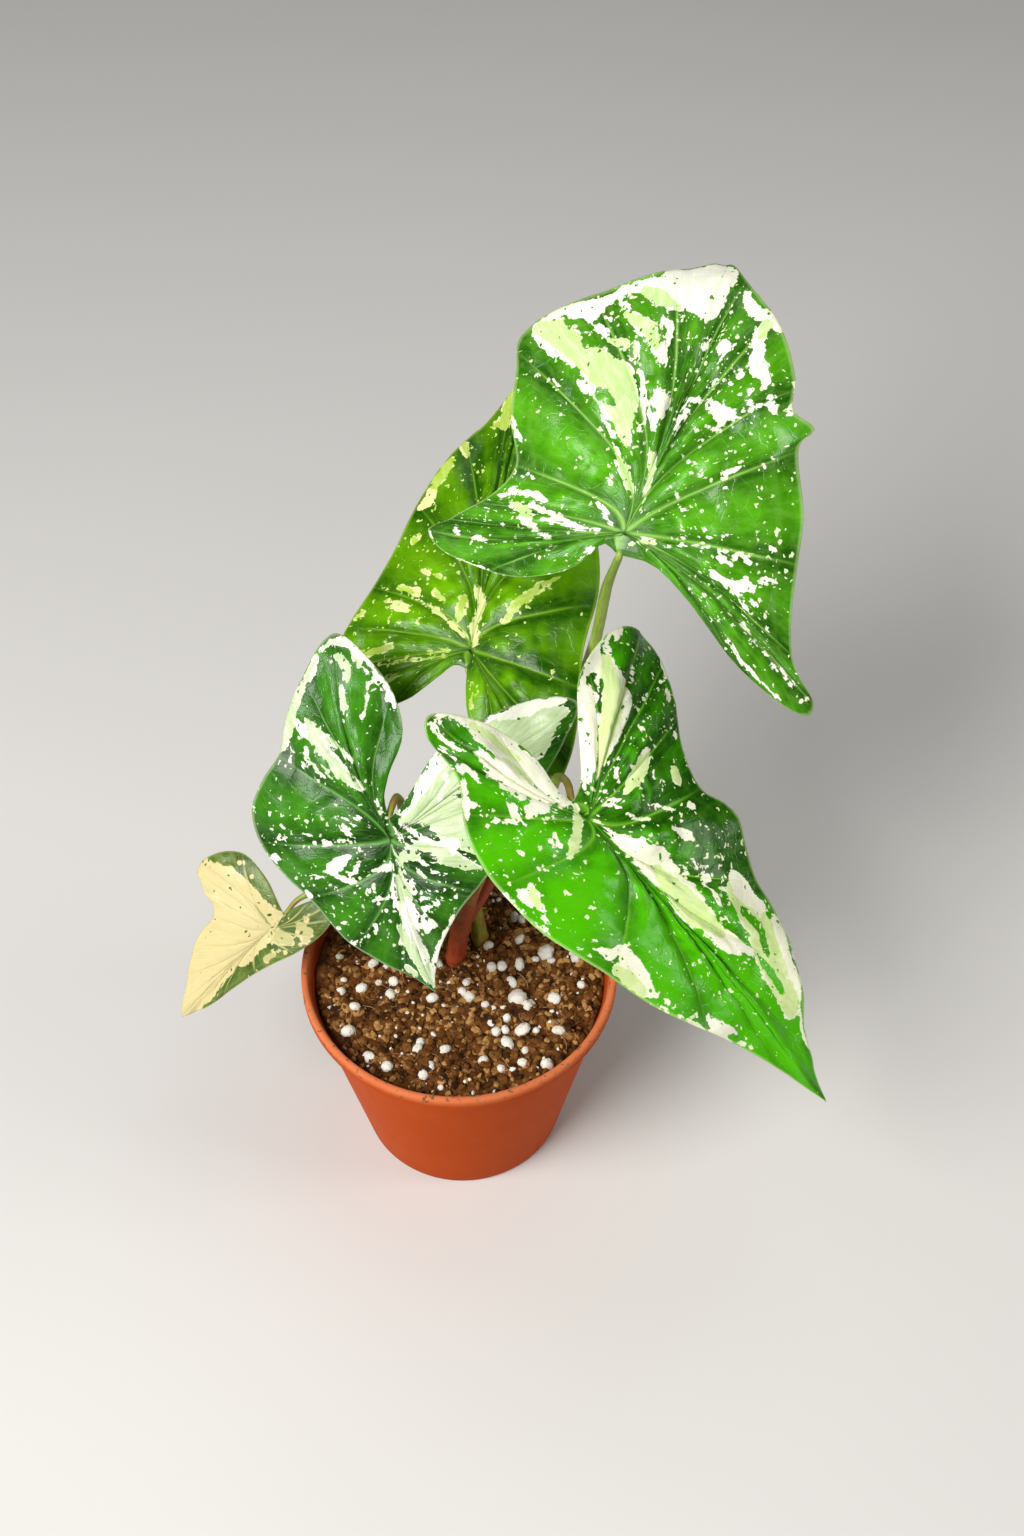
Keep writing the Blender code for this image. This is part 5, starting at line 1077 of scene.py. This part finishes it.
# A tube carried along its path: the radius swells at rings and foot, is cut by a channel on the inner
# side and stands up in two thin wings beside it as far as the sheath goes.
def stemSurface(part):
    shape = stemShape
    under = np.array(shape["under"])
    if part["leaf"] == "lowLeaf":
        under = under * shape["lowUnder"]
    tail = bend(leaves[part["leaf"]], np.zeros(len(under)), under[:, 0], under[:, 1])
    path = np.concatenate([np.array(part["path"], float), np.concatenate([tail, under[:, 2:]], axis=1)])
    line = curveThrough(path, (len(path) - 1) * shape["perPoint"] + 1)
    spine, radius = line[:, :3], line[:, 3]
    forward = unit(np.gradient(spine, axis=0))
    side = unit(np.cross(forward, np.array(shape["aside"])))
    other = np.cross(forward, side)
    run = runAlong(spine)
    u = run / run[(len(part["path"]) - 1) * shape["perPoint"]]        # 1 where the blade begins
    turn = turns(shape["sides"])
    away = (turn - shape["inner"] + math.pi) % (2 * math.pi) - math.pi
    first, last = part["sheath"]
    sheath = np.clip((u - first + 0.02) / 0.05, 0, 1) * np.clip((last - u) / 0.12, 0, 1)
    channel = np.clip((u - first) / 0.1, 0, 1) * np.clip((0.97 - u) / 0.1, 0, 1)
    (swell, ringReach), (slimFrom, slimOver, slimmer) = shape["ring"], shape["slim"]
    rings = sum(np.exp(-((u - r) / ringReach) ** 2) for r in part["rings"])
    tube = (1 + swell * rings) * (1 - slimmer * np.clip((u - slimFrom) / slimOver, 0, 1))
    (stand, thin), (cut, wide), (fine, ridges) = shape["wing"], shape["channel"], shape["ridges"]
    wings = sum(np.exp(-((away - a) / thin) ** 2) for a in (shape["wingAt"], -shape["wingAt"]))
    outline = (tube[:, None] + stand * sheath[:, None] * wings
               - (cut * channel + shape["sheathCut"] * sheath)[:, None] * np.exp(-(away / wide) ** 2)
               + fine * np.sin(ridges * turn))
    about = np.cos(turn)[None, :, None] * side[:, None, :] + np.sin(turn)[None, :, None] * other[:, None, :]
    ringPoints = spine[:, None, :] + (radius[:, None] * outline)[..., None] * about
    start, end = part["red"]
    red = start + (end - start) * np.clip(u, 0, 1) ** 0.8 + part["blush"] * np.clip((u - 0.86) / 0.1, 0, 1)
    return np.concatenate([ringPoints.reshape(-1, 3), spine[:1], spine[-1:]]), red, run


# The tubes of one stem in one mesh, with how red they are and a map round and along them.
def makeStem(name, stem):
    sides = stemShape["sides"]
    points, quads, tris, reds, maps, endMaps = [], [], [], [], [], []
    k = np.arange(sides)
    for part in stem["paths"]:
        here, red, run = stemSurface(part)
        start = sum(len(p) for p in points)
        someQuads, someTris = tubeFaces(len(run), sides)
        points.append(here)
        quads.append(someQuads + start)
        tris.append(someTris + start)
        v = run * mm
        west, east, low, high = np.broadcast_arrays(k / sides, (k + 1) / sides, v[:-1, None], v[1:, None])
        maps.append(np.stack([west, low, east, low, east, high, west, high], axis=-1).reshape(-1, 2))
        endMaps.append(np.stack([np.full(sides * 6, 0.5), np.repeat([v[0], v[-1]], sides * 3)], axis=1))
        reds.append(np.concatenate([np.repeat(red, sides), [red[0], red[-1]]]))
    piece = newPiece(name, np.concatenate(points), np.concatenate(quads), np.concatenate(tris))
    addValues(piece, "red", np.concatenate(reds))
    addMap(piece, "run", np.concatenate(maps + endMaps))
    return piece


stemLook = dict(red=(0.50, 0.055, 0.030), brown=(0.27, 0.070, 0.012), green=(0.20, 0.33, 0.02),
                lime=(0.36, 0.50, 0.09), fibres=(9, 60, 1), blotch=(260, 3, 0.6), blotchShare=0.7)
stemFinish, tree, place = newFinish("stemFinish", "run")
fine = noise(tree, stretched(tree, place, stemLook["fibres"]), 3.0, 4, 0.6)
blotch = noise(tree, put(tree, "ShaderNodeTexCoord").outputs["Object"], *stemLook["blotch"])
redness = plus(tree, attribute(tree, "red"), calc(tree, "SUBTRACT", blotch, 0.5), stemLook["blotchShare"])
warm = mixed(tree, between(tree, fine, 0.35, 0.65), stemLook["red"], stemLook["brown"])
fresh = mixed(tree, between(tree, fine, 0.3, 0.75), stemLook["green"], stemLook["lime"])
dress(tree, mixed(tree, between(tree, redness, 0.15, 0.75), fresh, warm), plus(tree, 0.30, fine, 0.2),
      (fine, 0.5, 0.00015), (0.15, (1.0, 0.6, 0.2), 0.001))
for name, stem in stems.items():
    settle(makeStem(name, stem), stemFinish, "stem", stem["node"])


# Pot

potShape = dict(height=95.0, baseR=40.0, wallTopR=57.0, rimR=60.0, lip=6.0, wall=1.3, floor=1.8, sides=192,
                footRound=1.2, beadRound=0.9, crownRound=1.5, holes=6, holeR=4.0, holeCircle=27.0)
high, wall, inFloor = potShape["height"], potShape["wall"], potShape["floor"]
baseR, topR, rimR = potShape["baseR"], potShape["wallTopR"], potShape["rimR"]
lipFoot = high - potShape["lip"]


# The wall's outer radius: a straight line from the base's at 0 to the top's at the lip's foot.
def wallRadius(height):
    return baseR + (topR - baseR) * height / lipFoot


# A profile of (radius, height) carried round the axis; a radius of 0 closes it with a fan.
def turned(name, profile, sides):
    profile = np.array(profile, float)
    turn, body = turns(sides), profile[1:-1]
    ring = np.stack([body[:, :1] * np.cos(turn), body[:, :1] * np.sin(turn),
                     np.broadcast_to(body[:, 1:], (len(body), sides))], axis=-1)
    points = np.concatenate([ring.reshape(-1, 3), [(0, 0, profile[0, 1]), (0, 0, profile[-1, 1])]])
    return newPiece(name, points, *tubeFaces(len(body), sides))


# Points of an arc about a centre (r, h), its angle in quarter turns.
def arc(r, h, radius, start, end, count):
    angles = np.linspace(start, end, count) * math.pi / 2
    return [(r + radius * math.cos(a), h + radius * math.sin(a)) for a in angles]


# Points of a profile at one height.
def level(radii, height):
    return [(r, height) for r in radii]


foot, bead, crown = (potShape[k] for k in ("footRound", "beadRound", "crownRound"))
potProfile = (level((0, 10, 22, 33), 0.6) + [(35.2, 0.5), (36, 0.0)] + arc(baseR - foot, foot, foot, -1, 0, 6)
              + [(wallRadius(h), h) for h in np.linspace(1.4, lipFoot - 0.6, 26)]
              + [(topR + 0.25, lipFoot - 0.25), (topR + 0.7, lipFoot)]
              + arc(rimR - bead, lipFoot + bead, bead, -1, 0, 6)
              + arc(rimR - crown, high - crown, crown, 0, 1.44, 11)
              + [(topR - wall + 0.5, lipFoot + 1.8), (topR - wall + 0.1, lipFoot + 0.2)]
              + [(wallRadius(h) - wall, h) for h in np.linspace(lipFoot - 1.5, inFloor + 1.4, 22)]
              + [(baseR - wall - 0.4, inFloor + 0.4)] + level((baseR - wall - 1.4, 33, 22, 10, 0), inFloor))
potShell = turned("potShell", potProfile, potShape["sides"])
drains = bpy.data.collections.new("drains")
bpy.context.scene.collection.children.link(drains)
for angle in turns(potShape["holes"]) + math.pi / potShape["holes"]:
    cutter = turned("drain", [(0, -2), (potShape["holeR"], -2), (potShape["holeR"], 4), (0, 4)], 32)
    across = Vector((math.cos(angle), math.sin(angle), 0)) * potShape["holeCircle"] * mm
    cutter.data.transform(Matrix.Translation(across))
    bpy.context.scene.collection.objects.unlink(cutter)
    drains.objects.link(cutter)
cut = potShell.modifiers.new("drains", "BOOLEAN")
cut.operand_type, cut.collection, cut.operation, cut.solver = "COLLECTION", drains, "DIFFERENCE", "MANIFOLD"
potShell.data = bpy.data.meshes.new_from_object(potShell.evaluated_get(bpy.context.evaluated_depsgraph_get()))
potShell.modifiers.clear()
potShell.data.materials.clear()
for cutter in list(drains.objects):
    bpy.data.objects.remove(cutter, do_unlink=True)
bpy.data.collections.remove(drains)

# plastic, worn and dirt are the pot's own colours; the lighter pink of the lip's crown is a painted highlight
potLook = dict(plastic=(0.44, 0.052, 0.003), worn=(0.56, 0.10, 0.012), rimHighlight=(0.80, 0.26, 0.11),
               dirt=(0.16, 0.09, 0.05), rimHighlightFrom=(0.0905, 0.0948), dirtFrom=(0.083, 0.0945))
potFinish, tree, place = newFinish("potFinish")
mottle = noise(tree, place, 55, 4, 0.6)
flow = noise(tree, stretched(tree, place, (1, 1, 0.15)), 240, 3, 0.6)
height = put(tree, "ShaderNodeSeparateXYZ", {0: place}).outputs[2]
plastic = mixed(tree, times(tree, mottle, 0.5), potLook["plastic"], potLook["worn"])
# painted highlight: the crown of the lip is painted lighter and pinker between these heights, patchy with the
# mottle
rimHighlight = times(tree, between(tree, height, *potLook["rimHighlightFrom"]), plus(tree, 0.35, mottle, 0.5))
plastic = mixed(tree, rimHighlight, plastic, potLook["rimHighlight"])
soiled = between(tree, noise(tree, place, 420, 4, 0.7), 0.56, 0.66)
soiled = times(tree, soiled, between(tree, height, *potLook["dirtFrom"]))
rough = plus(tree, plus(tree, 0.33, soiled, 0.4), flow, 0.18)
grainy = calc(tree, "ADD", noise(tree, place, 1500, 2, 0.5), flow)
dress(tree, mixed(tree, soiled, plastic, potLook["dirt"]), rough, (grainy, 0.2, 0.0001),
      (0.08, (1.0, 0.3, 0.1), 0.002), 0.012)
settle(potShell, potFinish, "pot", "pot")


# Soil

# middle and bottom are heights on the plug's hidden side; clods are (wavelength, height) of the rough top
soilShape = dict(top=88.5, bump=1.1, rings=110, sides=260, middle=45.0, bottom=2.1, sunk=0.9,
                 clods=((9, 0.7), (4.5, 0.55), (2.4, 0.35)), shade=0.35)


# The CAD part's gentle bumps: three sines of place, sinking by a square toward the wall.
def soilHeight(x, y):
    r = np.hypot(x, y)
    bumps = (np.sin(0.21 * x + 1.3) * np.cos(0.26 * y) + 0.6 * np.sin(0.43 * x - 0.37 * y)
             + 0.5 * np.cos(0.55 * y + 0.3 * x + 2.0))
    return soilShape["top"] + soilShape["bump"] * bumps * 0.7 - 1.8 * np.clip((r - 46) / 10, 0, 1) ** 2


# The soil's rough top: the CAD part's gentle bumps with clods, the folded sums of shorter and shorter waves.
def soilTop(x, y):
    clods = sum(a * np.abs(rolling(x, y, w, 40 + k)) for k, (w, a) in enumerate(soilShape["clods"]))
    return soilHeight(x, y) + clods - soilShape["sunk"]


# The plug of soil: rings of the rough top from the middle outwards, then its hidden side and base.
def makeSoil():
    rings, sides = soilShape["rings"], soilShape["sides"]
    radius = (wallRadius(soilShape["top"] - 3) - wall + 0.1) * np.linspace(0, 1, rings + 1)[1:, None]
    turn, middle, bottom = turns(sides), soilShape["middle"], soilShape["bottom"]
    x, y = radius * np.cos(turn), radius * np.sin(turn)
    side = [(wallRadius(middle) - wall - 0.3, middle),
            (baseR - wall - 0.9, bottom + 1.1), (baseR - wall - 1.9, bottom)]
    skirt = [np.stack([r * np.cos(turn), r * np.sin(turn), np.full(sides, h)], axis=1) for r, h in side]
    ringPoints = np.concatenate([np.stack([x, y, soilTop(x, y)], axis=-1), skirt])
    peak = soilTop(np.zeros(1), np.zeros(1))[0]
    points = np.concatenate([ringPoints.reshape(-1, 3), [(0, 0, peak), (0, 0, bottom)]])
    piece = newPiece("soilBed", points, *tubeFaces(len(ringPoints), sides, flipped=True))
    addValues(piece, "shade", np.full(len(points), soilShape["shade"]))
    return piece


# Many lumps in one mesh: a ball of few faces, its corners pushed in and out, turned, squashed and placed.
def lumps(name, places, sizes, level, seed, rough, flat, smooth=False):
    ball = bmesh.new()
    bmesh.ops.create_icosphere(ball, subdivisions=level, radius=1.0)
    base = np.array([tuple(v.co) for v in ball.verts])
    faces = np.array([[v.index for v in f.verts] for f in ball.faces])
    ball.free()
    random = np.random.default_rng(seed)
    count = len(places)
    w, qx, qy, qz = unit(random.normal(size=(count, 4))).T
    rotation = np.stack([1 - 2 * (qy**2 + qz**2), 2 * (qx * qy - qz * w), 2 * (qx * qz + qy * w),
                         2 * (qx * qy + qz * w), 1 - 2 * (qx**2 + qz**2), 2 * (qy * qz - qx * w),
                         2 * (qx * qz - qy * w), 2 * (qy * qz + qx * w), 1 - 2 * (qx**2 + qy**2)], -1)
    rotation = rotation.reshape(count, 3, 3)
    push = random.uniform(1 - rough, 1 + rough, (count, len(base), 1))
    stretch = random.uniform(0.7, 1.25, (count, 1, 3))
    corners = np.einsum("nij,nvj->nvi", rotation, base[None] * push * stretch) * sizes[:, None, None]
    corners[..., 2] *= flat
    points = (corners + places[:, None, :]).reshape(-1, 3)
    tris = (faces[None] + (np.arange(count) * len(base))[:, None, None]).reshape(-1, 3)
    piece = newPiece(name, points, np.zeros((0, 4), int), tris, smooth)
    addValues(piece, "shade", np.repeat(random.uniform(0, 1, count), len(base)))
    return piece


# Points spread evenly over a disc: the radius is the reach times the root of a draw.
def scattered(random, count, reach):
    angle, r = random.uniform(0, 2 * math.pi, count), reach * np.sqrt(random.uniform(0, 1, count))
    return r * np.cos(angle), r * np.sin(angle)


# what lies on the soil: size is least, most, power and factor, lift how many sizes the middle lies above
# the soil, and ball the faces' level, seed, roughness and flatness
strewn = {
    "soilCrumbs": dict(count=3400, reach=54.0, size=(0.45, 1.0, 1.6, 1.7), lift=0.15, ball=(1, 7, 0.3, 0.8)),
    "soilClods": dict(count=620, reach=52.0, size=(1.1, 2.4, 1, 1), lift=-0.2, ball=(2, 8, 0.16, 0.7)),
    "perliteBits": dict(count=170, reach=53.0, size=(0.3, 0.95, 1, 1), lift=0.5, ball=(2, 10, 0.2, 0.9)),
}


# Lumps of one kind on the soil's top: each size is a draw to a power, times a factor.
def strew(random, name):
    shape = strewn[name]
    x, y = scattered(random, shape["count"], shape["reach"])
    least, most, power, factor = shape["size"]
    sizes = random.uniform(least, most, shape["count"]) ** power * factor
    return lumps(name, np.stack([x, y, soilTop(x, y) + shape["lift"] * sizes], 1), sizes, *shape["ball"])


# Perlite: the CAD part's own 34 grains, the ones that the photograph shows, and small ones between.
grainShape = dict(count=34, reach=49, size=(1.3, 2.5), offStem=2.5, apart=1.0, lift=0.35,
                  ball=(3, 9, 0.09, 0.85))
shownGrains = [
    (-10, -12, 2.6), (4, -10, 2.1), (22, -12, 2.9), (36, -12, 2.3), (27, -14, 2.0), (14, -26, 2.2),
    (24, -26, 2.6), (29, -26, 1.9), (33, -40, 2.7), (-26, -41, 2.8), (-41, -26, 2.6), (-39, -16, 2.4),
    (-33, -37, 2.3), (-15, -34, 1.8), (-14, -31, 1.6), (-10, -41, 1.8), (20, -4, 2.1), (12, 3, 2.2),
    (33, 10, 2.9), (35, 6, 1.8), (11, 12, 2.4), (-8, 4, 2.2), (18, -20, 1.7), (24, -40, 1.7), (16, -42, 1.5),
    (-33, 4, 2.3), (-25, -4, 1.9), (-26, -9, 2.0), (-37, -7, 2.1), (-6, -50, 1.5), (30, 23, 2.5),
    (21, 27, 2.2), (10, -14, 1.6), (25, -34, 1.7), (1, -8, 1.6)]


# Grains drawn one by one and kept where they stand clear of the stems and of each other.
def makePerlite():
    feet = [stem["paths"][0]["path"][0] for stem in stems.values()]
    grains, seeded = [], np.random.default_rng(11)
    while len(grains) < grainShape["count"]:
        angle = seeded.uniform(0, 2 * math.pi)
        reach = grainShape["reach"] * math.sqrt(seeded.uniform(0, 1))
        x, y, size = reach * math.cos(angle), reach * math.sin(angle), seeded.uniform(*grainShape["size"])
        if any(math.hypot(x - f[0], y - f[1]) < f[3] + size + grainShape["offStem"] for f in feet):
            continue
        if any(math.hypot(x - g[0], y - g[1]) < size + g[2] + grainShape["apart"] for g in grains):
            continue
        grains.append((x, y, size))
        seeded.uniform(0.8, 1.15, (12, 1))                            # the CAD part shapes its grain here
    x, y, size = np.array(grains + shownGrains).T
    places = np.stack([x, y, soilHeight(x, y) + grainShape["lift"] * size], 1)
    return lumps("perlite", places, size, *grainShape["ball"], smooth=True)


# Fibres: thin bent strands, a small round profile carried along a curved line.
fibreShape = dict(count=170, reach=50.0, stay=53.5, curl=0.9, length=(3, 11), thick=(0.08, 0.2),
                  points=7, sides=5, above=0.35)


# Each strand's heading turns evenly along it, and its round profile narrows by a cube to the ends.
def makeFibres(random):
    count, sides, rings = (fibreShape[k] for k in ("count", "sides", "points"))
    x, y = scattered(random, count, fibreShape["reach"])
    heading = random.uniform(0, 2 * math.pi, count)
    curl = random.uniform(-fibreShape["curl"], fibreShape["curl"], count)
    length, thick = random.uniform(*fibreShape["length"], count), random.uniform(*fibreShape["thick"], count)
    f = np.linspace(-0.5, 0.5, rings)
    direction = heading[:, None] + curl[:, None] * f * 2
    x = x[:, None] + length[:, None] * f * np.cos(direction)
    y = y[:, None] + length[:, None] * f * np.sin(direction)
    inside = np.minimum(1, fibreShape["stay"] / np.hypot(x, y))
    x, y = x * inside, y * inside
    z = soilTop(x, y).max(axis=1, keepdims=True) * 0.5 + soilTop(x, y) * 0.5 + fibreShape["above"]
    spine = np.stack([x, y, z], -1)
    around = turns(sides)[:, None]
    sideways = np.stack([-np.sin(direction), np.cos(direction), np.zeros_like(direction)], -1)
    taper = thick[:, None] * (1 - 0.6 * np.abs(2 * f) ** 3)
    profile = np.cos(around) * sideways[:, :, None, :] + np.sin(around) * np.array([0, 0, 1.0])
    strand = spine[:, :, None, :] + taper[..., None, None] * profile
    points = np.concatenate([strand.reshape(count, -1, 3), spine[:, [0, -1]]], axis=1)
    each = points.shape[1]
    step = (np.arange(count) * each)[:, None, None]
    quads, tris = (faces[None] + step for faces in tubeFaces(rings, sides, flipped=True))
    piece = newPiece("soilFibres", points.reshape(-1, 3), quads.reshape(-1, 4), tris.reshape(-1, 3))
    addValues(piece, "shade", np.repeat(random.uniform(0, 1, count), each))
    return piece


soilBed = makeSoil()
random = np.random.default_rng(3)
crumbs, clods = strew(random, "soilCrumbs"), strew(random, "soilClods")
perlite, perliteBits = makePerlite(), strew(random, "perliteBits")
fibres = makeFibres(random)

soilLook = dict(dark=(0.026, 0.010, 0.003), brown=(0.155, 0.054, 0.010), tan=(0.52, 0.28, 0.09),
                straw=(0.42, 0.28, 0.13), white=(0.86, 0.82, 0.74), stain=(0.42, 0.27, 0.14))
soilFinish, tree, place = newFinish("soilFinish")
patchy = times(tree, noise(tree, place, 160, 5, 0.7), 0.75)
patchy = plus(tree, patchy, attribute(tree, "shade"), 0.45)
earth = mixed(tree, between(tree, patchy, 0.32, 0.62), soilLook["dark"], soilLook["brown"])
earth = mixed(tree, between(tree, patchy, 0.62, 0.86), earth, soilLook["tan"])
rough = calc(tree, "ADD", noise(tree, place, 1100, 4, 0.7), noise(tree, place, 400, 3, 0.6))
dress(tree, earth, plus(tree, 0.72, noise(tree, place, 900), 0.25), (rough, 0.9, 0.0005), shine=0.15)

fibreFinish, tree, place = newFinish("fibreFinish")
strandTone = plus(tree, times(tree, attribute(tree, "shade"), 0.8), noise(tree, place, 500), 0.3)
dress(tree, mixed(tree, strandTone, soilLook["brown"], soilLook["straw"]),
      plus(tree, 0.6, noise(tree, place, 2500), 0.3))

perliteFinish, tree, place = newFinish("perliteFinish")
stain = times(tree, between(tree, noise(tree, place, 380, 4, 0.65), 0.5, 0.72), 0.55)
stain = times(tree, stain, calc(tree, "ADD", 0.4, attribute(tree, "shade")))
pores = put(tree, "ShaderNodeTexVoronoi", {"Vector": place, "Scale": 1700.0}).outputs["Distance"]
pitted = calc(tree, "ADD", pores, noise(tree, place, 900))
rough = plus(tree, 0.7, noise(tree, place, 1500), 0.2)
dress(tree, mixed(tree, stain, soilLook["white"], soilLook["stain"]), rough, (pitted, 0.8, 0.0003),
      (0.2, (1.0, 0.9, 0.8), 0.001))

settle(soilBed, soilFinish, "soil", "soil")
settle(crumbs, soilFinish, "soil")
settle(clods, soilFinish, "soil")
settle(fibres, fibreFinish, "soil")
settle(perlite, perliteFinish, "soil")
settle(perliteBits, perliteFinish, "soil")


# Floor, light and world

wide = 3000
corners = [(-wide, -wide, 0), (wide, -wide, 0), (wide, wide, 0), (-wide, wide, 0)]
floor = newPiece("floor", corners, [(0, 1, 2, 3)])
floorFinish, tree, place = newFinish("floorFinish")
dress(tree, mixed(tree, noise(tree, place, 3, 2), (0.68, 0.668, 0.648), (0.72, 0.708, 0.688)), 0.7)
floor.data.materials.append(floorFinish)

# place, aim, size in metres, power in watts, colour
lamps = {
    "key": ((-0.78, -0.74, 1.20), (0.02, 0.02, 0.2), 0.95, 31.0, (1.0, 0.985, 0.96)),
    "overhead": ((0.25, 0.35, 1.5), (0.0, 0.05, 0.15), 0.9, 3.5, (0.97, 0.98, 1.0)),
    "side": ((1.1, -0.2, 0.7), (0.0, 0.0, 0.2), 0.5, 4.0, (1.0, 0.96, 0.9)),
}
for name, (spot, aim, size, power, light) in lamps.items():
    data = bpy.data.lights.new(name, "AREA")
    data.shape, data.size, data.energy, data.color = "DISK", size, power, light
    lamp = bpy.data.objects.new(name, data)
    lamp.location = spot
    lamp.rotation_euler = (Vector(aim) - Vector(spot)).to_track_quat("-Z", "Y").to_euler()
    bpy.context.scene.collection.objects.link(lamp)
world = bpy.data.worlds.new("world")
world.use_nodes = True
feed(world.node_tree, world.node_tree.nodes["Background"], {"Color": (0.80, 0.82, 0.85, 1), "Strength": 0.08})
bpy.context.scene.world = world
print("light and floor set")
